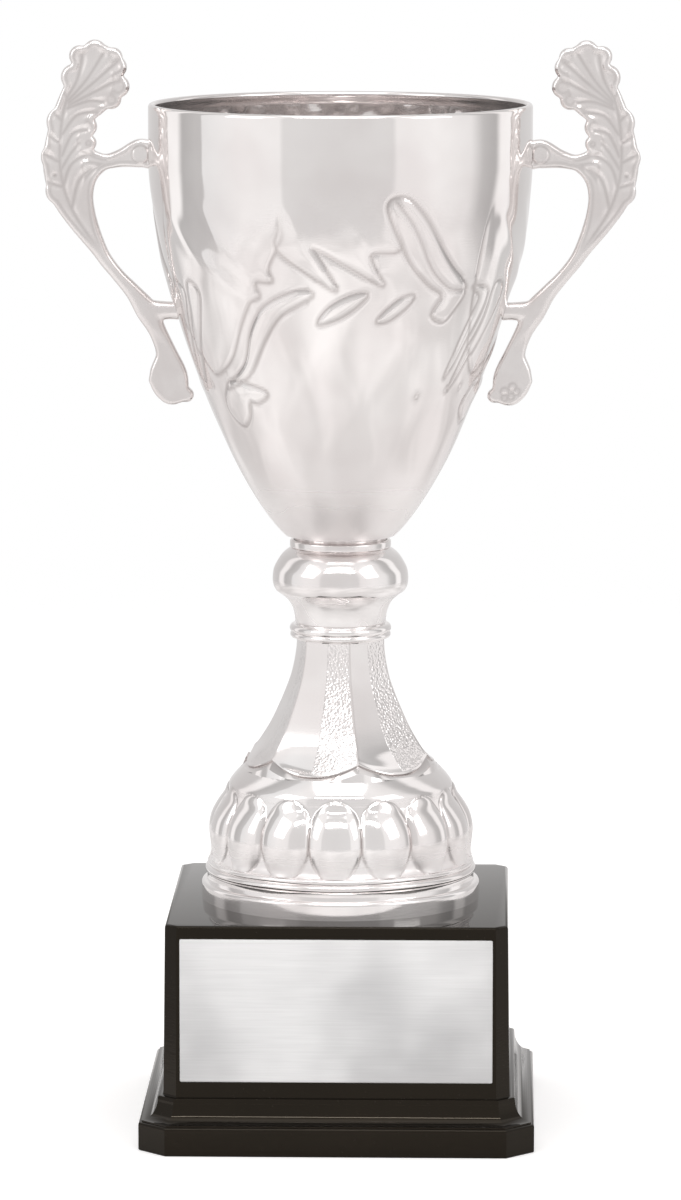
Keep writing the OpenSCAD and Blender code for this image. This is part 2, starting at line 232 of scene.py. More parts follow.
def newGroup(name, entries, exits):
    tree = bpy.data.node_groups.new(name, "ShaderNodeTree")
    for label, kind, value in entries:
        socket = tree.interface.new_socket(label, in_out="INPUT", socket_type=kind)
        if value is not None:
            socket.default_value = value
    for label, kind in exits:
        tree.interface.new_socket(label, in_out="OUTPUT", socket_type=kind)
    return tree, tree.nodes.new("NodeGroupInput"), tree.nodes.new("NodeGroupOutput")


def cloudGroup():
    # slow uneven tone, as in handling haze or casting variation; on the nameplate its light and dark
    # clouds are a painted reflection
    tree, entry, leave = newGroup(
        "cloudyTone",
        [("Place", "NodeSocketVector", None), ("Scale", "NodeSocketFloat", 20.0),
         ("Low", "NodeSocketFloat", 0.35), ("High", "NodeSocketFloat", 0.65)],
        [("Tone", "NodeSocketFloat")])
    noise = addNode(tree, "ShaderNodeTexNoise", {"Detail": 3.0, "Roughness": 0.55})
    spread = addNode(tree, "ShaderNodeMapRange", interpolation_type="SMOOTHSTEP")
    wire(tree, entry, "Place", noise, "Vector")
    wire(tree, entry, "Scale", noise, "Scale")
    wire(tree, noise, "Fac", spread, "Value")
    wire(tree, entry, "Low", spread, "From Min")
    wire(tree, entry, "High", spread, "From Max")
    wire(tree, spread, "Result", leave, "Tone")
    return tree


def hairlineGroup():
    # fine lines along one direction: polish marks, brushing or the file marks of a finish
    tree, entry, leave = newGroup(
        "hairlines",
        [("Place", "NodeSocketVector", None), ("Stretch", "NodeSocketVector", (1.0, 1.0, 1.0)),
         ("Scale", "NodeSocketFloat", 400.0)],
        [("Lines", "NodeSocketFloat")])
    stretch = addNode(tree, "ShaderNodeVectorMath", operation="MULTIPLY")
    noise = addNode(tree, "ShaderNodeTexNoise", {"Detail": 2.0, "Roughness": 0.6})
    wire(tree, entry, "Place", stretch, 0)
    wire(tree, entry, "Stretch", stretch, 1)
    wire(tree, stretch, "Vector", noise, "Vector")
    wire(tree, entry, "Scale", noise, "Scale")
    wire(tree, noise, "Fac", leave, "Lines")
    return tree


def speckGroup():
    # dust and pits as small round specks
    tree, entry, leave = newGroup(
        "specks",
        [("Place", "NodeSocketVector", None), ("Scale", "NodeSocketFloat", 300.0),
         ("Size", "NodeSocketFloat", 0.2)],
        [("Specks", "NodeSocketFloat")])
    cells = addNode(tree, "ShaderNodeTexVoronoi", {"Randomness": 1.0})
    cut = addNode(tree, "ShaderNodeMapRange", {"From Min": 0.0, "To Min": 1.0, "To Max": 0.0})
    wire(tree, entry, "Place", cells, "Vector")
    wire(tree, entry, "Scale", cells, "Scale")
    wire(tree, cells, "Distance", cut, "Value")
    wire(tree, entry, "Size", cut, "From Max")
    wire(tree, cut, "Result", leave, "Specks")
    return tree


cloudyTone = cloudGroup()
hairlines = hairlineGroup()
specks = speckGroup()


def startMaterial(name):
    material = bpy.data.materials.new(name)
    material.use_nodes = True
    tree = material.node_tree
    surface = tree.nodes["Principled BSDF"]
    place = addNode(tree, "ShaderNodeTexCoord")
    return material, tree, surface, place


def placeGroup(tree, group, place, values):
    node = addNode(tree, "ShaderNodeGroup", node_tree=group)
    for key, value in values.items():
        node.inputs[key].default_value = value
    wire(tree, place, "Object", node, "Place")
    return node


# a colour Mix node's sockets: how much of the second colour, the two colours, and the result
mixShare, mixFirst, mixSecond, mixResult = 0, 6, 7, 2


def mixColours(tree, source, output, light, dark):
    # light where the source is 0, dark where it is 1
    mix = addNode(tree, "ShaderNodeMix", data_type="RGBA")
    mix.inputs[mixFirst].default_value = (*light, 1)
    mix.inputs[mixSecond].default_value = (*dark, 1)
    wire(tree, source, output, mix, mixShare)
    return mix


def coverColour(tree, under, output, cover, source, mask):
    # the colour beneath where the mask is 0, the covering one where it is 1
    mix = addNode(tree, "ShaderNodeMix", data_type="RGBA")
    mix.inputs[mixSecond].default_value = (*cover, 1)
    wire(tree, under, output, mix, mixFirst)
    wire(tree, source, mask, mix, mixShare)
    return mix


def scaleRange(tree, source, output, low, high):
    spread = addNode(tree, "ShaderNodeMapRange", {"To Min": low, "To Max": high})
    wire(tree, source, output, spread, "Value")
    return spread


def multiplyAdd(tree, source, output, times, plus):
    node = addNode(tree, "ShaderNodeMath", {1: times, 2: plus}, operation="MULTIPLY_ADD")
    wire(tree, source, output, node, 0)
    return node


def startFinish(name, look):
    # a material with the two patterns that every finish has: slow clouds and fine lines
    material, tree, surface, place = startMaterial(name)
    low, high = look["clouds"]
    cloud = placeGroup(tree, cloudyTone, place,
                       {"Scale": look["cloudScale"], "Low": low, "High": high})
    lines = placeGroup(tree, hairlines, place,
                       {"Stretch": look["stretch"], "Scale": look["lineScale"]})
    height = addNode(tree, "ShaderNodeBump",
                     {"Strength": look["lineDepth"], "Distance": look["lineRise"]})
    wire(tree, lines, "Lines", height, "Height")
    return dict(material=material, tree=tree, surface=surface, place=place, cloud=cloud,
                lines=lines, height=height)


def joinSurface(made, colour, rough, output="Result"):
    tree, surface = made["tree"], made["surface"]
    wire(tree, colour, mixResult, surface, "Base Color")
    wire(tree, rough, output, surface, "Roughness")
    wire(tree, made["height"], "Normal", surface, "Normal")
    return made["material"]


def cloudColour(made, look):
    return mixColours(made["tree"], made["cloud"], "Tone", look["light"], look["dark"])


def cloudRough(made, look):
    return scaleRange(made["tree"], made["cloud"], "Tone", look["roughLow"], look["roughHigh"])


def peenedHeight(made, look):
    # small pits over the fine lines, only where the stipple is painted
    tree = made["tree"]
    pattern = addNode(tree, "ShaderNodeTexVoronoi", {"Scale": look["stipple"]}, feature="SMOOTH_F1")
    mask = addNode(tree, "ShaderNodeAttribute", attribute_name="stipple")
    pitted = addNode(tree, "ShaderNodeMath", operation="MULTIPLY")
    peen = addNode(tree, "ShaderNodeBump",
                   {"Strength": look["stippleDepth"], "Distance": look["stippleRise"]})
    wire(tree, made["place"], "Object", pattern, "Vector")
    wire(tree, pattern, "Distance", pitted, 0)
    wire(tree, mask, "Fac", pitted, 1)
    wire(tree, pitted, "Value", peen, "Height")
    wire(tree, made["height"], "Normal", peen, "Normal")
    return peen


def silverMaterial(name, look):
    # plated metal: clear mirror, faint haze clouds, painted shade gathered in the grooves and over the
    # cup's inside
    made = startFinish(name, look)
    tree = made["tree"]
    # painted shade: the colour turns dark where the mesh's painted shade mask lies
    paintedShade = addNode(tree, "ShaderNodeAttribute", attribute_name="paintedShade")
    colour = coverColour(tree, cloudColour(made, look), mixResult, look["shadeColour"], paintedShade, "Fac")
    # dull places are rougher and less metallic than the haze alone makes them
    dull = addNode(tree, "ShaderNodeAttribute", attribute_name="dull")
    rough = multiplyAdd(tree, dull, "Fac", look["dullRough"], 0.0)
    wire(tree, cloudRough(made, look), "Result", rough, 2)
    shine = multiplyAdd(tree, dull, "Fac", -look["dullMetal"], 1.0)
    wire(tree, shine, "Value", made["surface"], "Metallic")
    if "stipple" in look:
        made["height"] = peenedHeight(made, look)
    return joinSurface(made, colour, rough, "Value")


silver = dict(
    light=(0.955, 0.93, 0.92),
    dark=(0.86, 0.82, 0.812),
    # colour of the painted shade in grooves and hollows
    shadeColour=(0.30, 0.26, 0.25),
    clouds=(0.3, 0.7),
    cloudScale=26.0,
    roughLow=0.035,
    roughHigh=0.10,
    dullRough=0.22,
    dullMetal=0.5,
    stretch=(1.0, 1.0, 6.0),
    lineScale=260.0,
    lineDepth=0.05,
    lineRise=0.0001)
cupSilver = silverMaterial("platedCupSilver", silver)
castSilver = silverMaterial("platedCastingSilver", dict(
    silver, light=(0.9, 0.87, 0.86), dark=(0.82, 0.78, 0.77), roughLow=0.17, roughHigh=0.26,
    cloudScale=60.0, stretch=(1.0, 1.0, 1.0), lineScale=500.0, lineDepth=0.12))
stemSilver = silverMaterial("platedMouldingSilver", dict(
    silver, light=(0.965, 0.945, 0.938), roughLow=0.07, roughHigh=0.14, stipple=1400.0,
    stippleDepth=0.6, stippleRise=0.0003))

zincLook = dict(
    light=(0.62, 0.63, 0.64),
    dark=(0.47, 0.47, 0.45),
    clouds=(0.35, 0.65),
    cloudScale=160.0,
    roughLow=0.24,
    roughHigh=0.42,
    stretch=(1.0, 1.0, 9.0),
    lineScale=500.0,
    lineDepth=0.25,
    lineRise=0.0002)


def zincMaterial(look):
    # bright zinc with turning marks and dull patches
    made = startFinish("zincSteel", look)
    made["surface"].inputs["Metallic"].default_value = 1
    return joinSurface(made, cloudColour(made, look), cloudRough(made, look))


blackLook = dict(
    light=(0.0035, 0.0026, 0.0018),
    dark=(0.0065, 0.0048, 0.0033),
    dust=(0.028, 0.025, 0.022),
    dustScale=420.0,
    dustSize=0.1,
    clouds=(0.3, 0.75),
    cloudScale=14.0,
    roughLow=0.03,
    roughHigh=0.06,
    stretch=(1.0, 1.0, 5.0),
    lineScale=120.0,
    lineDepth=0.05,
    lineRise=0.0003,
    gloss=0.3,
    glossTint=(1, 0.86, 0.68))


def baseMaterial(look):
    # gloss brown-black moulding: faint moulding ripple, a little dust and fine hairline marks
    made = startFinish("glossBlackMoulding", look)
    tree, surface = made["tree"], made["surface"]
    dust = placeGroup(tree, specks, made["place"],
                      {"Scale": look["dustScale"], "Size": look["dustSize"]})
    colour = coverColour(tree, cloudColour(made, look), mixResult, look["dust"], dust, "Specks")
    surface.inputs["Specular IOR Level"].default_value = look["gloss"]
    surface.inputs["Specular Tint"].default_value = (*look["glossTint"], 1)
    return joinSurface(made, colour, cloudRough(made, look))


plateLook = dict(
    # painted reflection: the slow light and dark clouds of the plate's colour
    light=(0.97, 0.97, 0.97),
    dark=(0.6, 0.6, 0.605),
    clouds=(0.40, 0.72),
    cloudScale=15.0,
    roughLow=0.34,
    roughHigh=0.5,
    stretch=(0.03, 1.0, 1.0),
    lineScale=1500.0,
    lineDepth=0.22,
    lineRise=0.0001,
    lineShade=0.16,     # how much the brush lines darken the colour
    metal=0.35)


def plateMaterial(look):
    # brushed silver sheet: level brush lines over slow light and dark clouds, which are a painted
    # reflection
    made = startFinish("brushedPlate", look)
    tree, lines = made["tree"], made["lines"]
    colour = addNode(tree, "ShaderNodeMix", data_type="RGBA", blend_type="MULTIPLY")
    colour.inputs[mixShare].default_value = look["lineShade"]
    wire(tree, cloudColour(made, look), mixResult, colour, mixFirst)
    wire(tree, lines, "Lines", colour, mixSecond)
    rough = scaleRange(tree, lines, "Lines", look["roughLow"], look["roughHigh"])
    made["surface"].inputs["Metallic"].default_value = look["metal"]
    return joinSurface(made, colour, rough)


def dullMaterial(name, look):
    # unpolished stuff: board, felt, raw iron and adhesive differ in grain and tone
    made = startFinish(name, look)
    tree = made["tree"]
    both = addNode(tree, "ShaderNodeMath", operation="MULTIPLY")
    wire(tree, made["cloud"], "Tone", both, 0)
    wire(tree, made["lines"], "Lines", both, 1)
    colour = mixColours(tree, both, "Value", look["light"], look["dark"])
    return joinSurface(made, colour, cloudRough(made, look))


dullLook = dict(clouds=(0.35, 0.65), stretch=(1.0, 1.0, 1.0), lineRise=0.0005)
zinc = zincMaterial(zincLook)
glossBlack = baseMaterial(blackLook)
brushed = plateMaterial(plateLook)
castIron = dullMaterial("rawIron", dict(
    dullLook, light=(0.085, 0.08, 0.075), dark=(0.04, 0.036, 0.034), cloudScale=60.0,
    lineScale=300.0, lineDepth=0.8, roughLow=0.55, roughHigh=0.8))
board = dullMaterial("hardboard", dict(
    dullLook, light=(0.25, 0.15, 0.08), dark=(0.14, 0.08, 0.04), cloudScale=70.0,
    lineScale=260.0, lineDepth=0.5, roughLow=0.6, roughHigh=0.85, stretch=(0.3, 1.0, 1.0)))
feltCloth = dullMaterial("greenFelt", dict(
    dullLook, light=(0.012, 0.05, 0.026), dark=(0.004, 0.02, 0.01), cloudScale=90.0,
    lineScale=900.0, lineDepth=1.0, roughLow=0.9, roughHigh=1.0))
adhesive = dullMaterial("foamTape", dict(
    dullLook, light=(0.78, 0.75, 0.66), dark=(0.6, 0.57, 0.5), cloudScale=90.0,
    lineScale=500.0, lineDepth=0.4, roughLow=0.6, roughHigh=0.8))
print("materials ready")


cup = dict(
    rimRadius=cadBox("bowl")[1].x,  # outside, at the lip
    rimZ=cadBox("bowl")[1].z,
    floorZ=cadBox("bowl")[0].z,
    wall=0.9,            # thickness of the spun metal
    lipHeight=19.0,      # straight band under the rim
    neckRadius=14.5,
    neckHeight=2.9,
    rimRoll=1.1,         # radius of the rolled rim
    seats=(16, 65),      # heights below the rim where the handles are screwed on
    outsideSteps=600,
    insideSteps=300,
    emboss=0.3,          # how far the leaves stand out
    pillow=0.3,          # how much more they swell towards their middles
    edgeGroove=0.22,     # depth of the line pressed round each leaf
    foldDepth=0.24,
    ridgeLift=0.34,
    dimpleDepth=0.2,
    patternTurn=66.0,    # degrees from the front back to where the pattern starts again
    patternShare=0.93,   # girth the pattern is drawn on, as a share of the rim's
    reliefLow=212.0,     # height under which the wall is plain
    rowGap=0.73,         # between rows of the mesh through the leaves
    repeats=3)           # times the leaf pattern goes round
cup["flankTop"] = cup["rimZ"] - cup["lipHeight"]
cup["flankFoot"] = cup["floorZ"] + cup["neckHeight"]


def cupFlank(steps):
    top, foot = cup["flankTop"], cup["flankFoot"]
    rise = top - foot
    return curvePoints((cup["rimRadius"], top), (cup["rimRadius"] - 1.3, top - 0.32 * rise),
                       (cup["neckRadius"] + 20, foot + 0.135 * rise),
                       (cup["neckRadius"] + 2.8, foot), steps)


flankTable = np.array(cupFlank(300))[::-1]


def cupRadius(z):
    # outside radius of the plain cup at a height
    return np.interp(z, flankTable[:, 1], flankTable[:, 0])


# Leaf pattern, as degrees round the cup from the front (towards +X) and height below the rim
leaves = dict(
    broad=[(-17, 33), (-19, 41), (-22, 47), (-21, 51), (-26, 51), (-27, 53), (-26, 56), (-30, 58),
           (-35, 65), (-42, 75), (-51, 81), (-58, 81), (-66, 70), (-69, 52), (-66, 30), (-52, 10),
           (-27, 10)],
    tips=[(-15, 26), (-17, 35), (-18, 41), (-9, 48), (0, 53.5), (-4, 46), (-7, 40), (4, 46),
          (15, 52), (12, 47), (11, 42), (20, 41), (18, 34), (17, 24), (12, 10), (-8, 10)],
    ribbon=[(16, 27), (18, 34), (24, 45), (31, 52), (37, 56), (34, 62), (39, 64), (43, 60),
            (46, 54), (39, 47), (34, 41), (27, 31), (21, 25.5)],
    stem=[(-12, 54), (-24, 59), (-31, 67), (-36, 77), (-44, 83), (-50, 86), (-43, 84.5),
          (-34, 79.5), (-26, 69.5), (-19, 61.5), (-8, 55.5)],
    hook=[(-44, 84), (-31, 86), (-30, 88), (-35, 90), (-39, 90), (-42, 95), (-48, 98), (-55, 93),
          (-50, 86)],
    lensA=[(-6, 64), (-2, 59), (5, 55.5), (10, 55), (6, 59), (0, 62.5)],
    lensB=[(14, 63.5), (17, 60), (22, 56.5), (26, 56), (23, 59.5), (18, 63)],
    sideStemA=[(50, 54), (58, 56), (56, 64), (51, 74), (46, 82), (49, 72), (53, 62), (54, 57)],
    sideStemB=[(62, 54), (68, 56), (64, 66), (57, 77), (50, 86), (55, 74), (60, 64)])
# The ribbon's fold is pressed in, and soft ridges run down the leaves
folds = [[(18, 26.5), (24, 34), (31, 47), (39, 54), (46, 54.5)]]
ridges = [[(-60, 34), (-50, 44), (-38, 52), (-29, 58)], [(-44, 30), (-36, 42), (-28, 50)],
          [(-12, 32), (-9, 40), (-4, 47)], [(5, 30), (9, 40), (13, 48)],
          [(-47, 84), (-42, 89), (-38, 88)]]
# small raised dots with a sunk middle: degrees round, height below the rim, radius
cupDimples = [(34, 88, 1.0), (49, 86.5, 1.4), (-62, 86, 1.2), (67, 85, 1.2)]


def onTop(name, drop):
    # the broad leaves fade out under the lip, the ribbon's folded end stands up to it
    low, high = (19, 25) if name == "ribbon" else (27, 45)
    return ease(drop, low, high)


def leafRelief(turn, z):
    # how far the sheet is pressed out, and how much painted shade lies in the grooves round the
    # leaves, the fold and the dimples
    span = 360 / cup["repeats"]
    turn = (turn + cup["patternTurn"]) % span - cup["patternTurn"]
    drop = cup["rimZ"] - z
    across = math.radians(1) * cup["patternShare"] * cup["rimRadius"]   # mm to a degree
    x = turn * across
    out = np.zeros(x.shape)
    paintedShade = np.zeros(x.shape)
    for name, outline in leaves.items():
        points = smoothRow(outline, 4, closed=True)
        small = name.startswith("lens") or name.startswith("side")
        width, swellAt, lift = (1.2, 3, 0.5) if small else (1.6, 8, 1.0)
        for shift in (0, span, -span):
            shape = [((p[0] + shift) * across, p[1]) for p in points]
            near = nearShape(x, drop, shape, 3)
            if not near.any():
                continue
            depth = insideDistance(x[near], drop[near], shape)
            swell = np.clip(depth, 0, swellAt) / swellAt
            fade = onTop(name, drop[near])
            rise = cup["emboss"] * ease(depth, -width / 2, width / 2) * fade
            rise = rise + cup["pillow"] * lift * swell * (2 - swell) * fade
            # the line pressed round each leaf, with painted shade along it
            edge = bump(depth + 0.45, 0.66) * fade
            out[near] = np.maximum(out[near], rise) - cup["edgeGroove"] * edge
            paintedShade[near] = np.maximum(paintedShade[near], edge)
    for line in folds + ridges:
        points = [(p[0] * across, p[1]) for p in smoothRow(line, 5)]
        near = nearShape(x, drop, points, 7)
        gap = lineDistance(x[near], drop[near], points)
        if line in folds:
            fade = onTop("ribbon", drop[near])
            out[near] -= cup["foldDepth"] * bump(gap, 0.9) * fade
            # painted shade along the fold
            paintedShade[near] = np.maximum(paintedShade[near], 0.8 * bump(gap, 0.62) * fade)
        else:
            out[near] += cup["ridgeLift"] * bump(gap, 3.2) * onTop("broad", drop[near] + 6)
    for at, depth, size in cupDimples:
        gap = np.hypot(x - at * across, drop - depth)
        out = out + cup["dimpleDepth"] * (bump(gap, size * 1.5) - 1.6 * bump(gap, size * 0.6))
        # painted shade in the ring round each dimple
        paintedShade = np.maximum(paintedShade, 0.9 * bump(gap - size, 0.4))
    return out, paintedShade


# unevenness of the sheet, as waves: height, times round, radians for a millimetre down, start
beatenWaves = [(0.10, 3, 1 / 11, 0), (0.07, 7, -1 / 7, 1.3), (0.05, 11, 1 / 5, 0.4),
               (0.04, 17, -1 / 9, 2)]
hammeredWaves = [(0.16, 23, 0.5, 0), (0.13, 37, -0.8, 1.1), (0.10, 61, 1.1, 2.3),
                 (0.12, 9, 0.9, 0)]


def waves(rows, turn, drop):
    a = np.radians(turn)
    return sum(size * np.sin(times * a + slope * drop + start)
               for size, times, slope, start in rows)


def handBeaten(turn, drop):
    # slow unevenness of the spun sheet, stronger through the pattern than at the lip
    stronger = 0.12 + 0.88 * ease(drop, 16, 40)
    return 1.35 * waves(beatenWaves, turn, drop) * stronger * (1 - 0.7 * ease(drop, 100, 128))


def hammered(turn, drop):
    # small unevenness of the inside, deepest just under the rim
    return waves(hammeredWaves, turn, drop) * ease(drop, 4, 7) * (1 - 0.65 * ease(drop, 18, 45))


def innerPoint(line, i):
    # the flank moved square inwards by the metal's thickness
    a, b = line[max(i - 1, 0)], line[min(i + 1, len(line) - 1)]
    size = math.hypot(b[0] - a[0], b[1] - a[1])
    return (line[i][0] + cup["wall"] * (b[1] - a[1]) / size,
            line[i][1] - cup["wall"] * (b[0] - a[0]) / size)


def cupOutside():
    rim, roll, wall = cup["rimZ"], cup["rimRoll"], cup["wall"]
    radius, neck = cup["rimRadius"], cup["neckRadius"]
    floor, foot = cup["floorZ"], cup["flankFoot"]
    outer = [(rodHole, floor), (neck - 0.6, floor), (neck, floor + 0.6), (neck, foot - 0.4),
             (neck + 0.3, foot)]
    # rows lie close together where the leaves are
    outer += [p for p in cupFlank(60)[::-1] if p[1] < cup["reliefLow"]]
    outer += [(float(cupRadius(z)), float(z))
              for z in np.arange(cup["reliefLow"], cup["flankTop"] - 0.3, cup["rowGap"])]
    outer += [(radius, cup["flankTop"] + k * 2.7) for k in range(7)]
    outer += arcPoints((radius - roll, rim - roll), roll, 0, 200, 9)
    return outer + [(radius - 2 * wall, rim - 2.3), (radius - wall, rim - 3.6)]


def cupInside():
    radius, neck, wall = cup["rimRadius"], cup["neckRadius"], cup["wall"]
    line = cupFlank(56)
    inner = [(radius - wall, cup["rimZ"] - 4.2 - k * 2) for k in range(7)]
    inner += [innerPoint(line, i) for i in range(len(line) - 2)]
    return inner + [(neck - wall, cup["flankFoot"] + wall), (neck - wall, cup["floorZ"] + wall),
                    (rodHole, cup["floorZ"] + wall)]


def spinCup():
    bm = bmesh.new()
    spinChain(bm, cupOutside(), cup["outsideSteps"])
    spinChain(bm, cupInside(), cup["insideSteps"])
    loops = boundaryLoops(bm)
    halfWay = (cup["rimZ"] + cup["floorZ"]) / 2
    for high in (False, True):   # the rod hole's wall, then the inside of the rim
        pair = [e for e in loops if (e.verts[0].co.z > halfWay) == high]
        bmesh.ops.bridge_loops(bm, edges=pair)
    bmesh.ops.recalc_face_normals(bm, faces=bm.faces)
    return makeObject("bowlSilver", bm)


def plainSeats(turn, drop):
    # 0 where the handles and screws seat on plain metal, 1 elsewhere
    plain = 1
    for side in (90, -90):
        for seat in cup["seats"]:
            near = bump((turn - side) / 7, 1) * bump((drop - seat) / 7, 1)
            plain = plain * (1 - np.clip(near * 2.5, 0, 1))
    return plain


def buildCup():
    piece = spinCup()
    foot = cup["flankFoot"]
    co = coordinates(piece.data)
    radial = np.hypot(co[:, 0], co[:, 1])
    turn = np.degrees(np.arctan2(co[:, 0], -co[:, 1]))
    z = co[:, 2]
    drop = cup["rimZ"] - z
    inside = radial < cupRadius(z) - cup["wall"] / 2
    relief, paintedShade = leafRelief(turn, z)
    onWall = ease(z, foot + 2, foot + 12) * ease(drop, 4, 10) * plainSeats(turn, drop)
    dents = np.where(inside, hammered(turn, drop), 0)
    out = (relief + handBeaten(turn, drop)) * onWall + dents * ease(z, foot + 8, foot + 20)
    for axis in (0, 1):
        co[:, axis] *= 1 + out / np.maximum(radial, 1)
    setCoordinates(piece.data, co)
    # painted shade: the inside is darkened a little all over and mottled along its dents, the outside
    # only in its grooves
    shade = np.where(inside, 0.14 + 1.3 * dents, 0.5 * paintedShade * onWall)
    paint(piece.data, "paintedShade", np.clip(shade, 0, 1))
    satin = 1 - ease(z, foot + 5, foot + 30)
    paint(piece.data, "dull", np.where(inside, 0.15, satin))
    finishPiece(piece, "bowl", cupSilver, 40)


buildCup()
print("cup ready")


nut = dict(
    thread=6.0,
    corner=0.9,   # cut off the corners of the two ends
    lead=0.6)     # cone at each end of the thread


def buildNut(name, node):
    low, high = cadBox(node)
    height = high.z - low.z
    across = high.y - low.y
    bm = bmesh.new()
    bmesh.ops.create_circle(bm, cap_ends=True, segments=6,
                            radius=across / 2 / math.cos(math.pi / 6))
    # the flats face the way they do on the CAD nut
    bmesh.ops.rotate(bm, verts=bm.verts, cent=(0, 0, 0),
                     matrix=Matrix.Rotation(math.radians(30), 3, "Z"))
    grown = bmesh.ops.extrude_face_region(bm, geom=bm.faces[:])
    tops = [g for g in grown["geom"] if isinstance(g, bmesh.types.BMVert)]
    bmesh.ops.translate(bm, verts=tops, vec=(0, 0, height))
    ends = [f for f in bm.faces if abs(f.normal.z) > 0.9]
    bmesh.ops.bevel(bm, geom=[v for f in ends for v in f.verts], affect="VERTICES",
                    offset=nut["corner"], segments=1, profile=0.5, material=-1)
    ends = [f for f in bm.faces if abs(f.normal.z) > 0.9]
    bmesh.ops.inset_individual(bm, faces=ends,
                               thickness=across / 2 - nut["thread"] / 2 - nut["lead"])
    ends = [f for f in bm.faces if abs(f.normal.z) > 0.99 and len(f.verts) > 6]
    bmesh.ops.inset_individual(bm, faces=ends, thickness=nut["lead"], depth=-nut["lead"])
    bmesh.ops.recalc_face_normals(bm, faces=bm.faces)
    bmesh.ops.translate(bm, verts=bm.verts, vec=(0, 0, low.z))
    piece = makeObject(name, bm)
    finishPiece(piece, node, zinc, 20)


rod = dict(
    radius=3.0,
    depth=0.36,   # of the thread
    pitch=1.0,
    steps=24)


def buildRod():
    # full-length thread: a zigzag line turned once while it climbs one pitch
    low, high = cadBox("tie_rod")
    bm = bmesh.new()
    count = int((high.z - low.z) / rod["pitch"]) + 4
    points = []
    for k in range(count):
        z = low.z + (k - 2) * rod["pitch"]
        points += [(rod["radius"] - rod["depth"], z), (rod["radius"], z + rod["pitch"] / 2)]
    verts, edges = chain(bm, points)
    bmesh.ops.spin(bm, geom=verts + edges, cent=(0, 0, 0), axis=(0, 0, 1),
                   dvec=(0, 0, rod["pitch"] / rod["steps"]), angle=2 * math.pi,
                   steps=rod["steps"], use_merge=False, use_duplicate=False)
    bmesh.ops.remove_doubles(bm, verts=bm.verts, dist=0.01)
    for z, way in ((low.z, -1), (high.z, 1)):
        bmesh.ops.bisect_plane(bm, geom=bm.verts[:] + bm.edges[:] + bm.faces[:],
                               plane_co=(0, 0, z), plane_no=(0, 0, way), clear_outer=True)
        bmesh.ops.holes_fill(bm, edges=boundaryLoops(bm), sides=0)
    bmesh.ops.recalc_face_normals(bm, faces=bm.faces)
    piece = makeObject("threadedRod", bm)
    finishPiece(piece, "tie_rod", zinc, 50)


buildNut("bowlNutZinc", "bowl_nut")
buildNut("baseNutZinc", "base_nut")
buildRod()
for nodeName in ("bowl_washer", "base_washer", "handle_screws", "handle_washers"):
    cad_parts[nodeName].data.materials[0] = zinc
print("clamp ready")


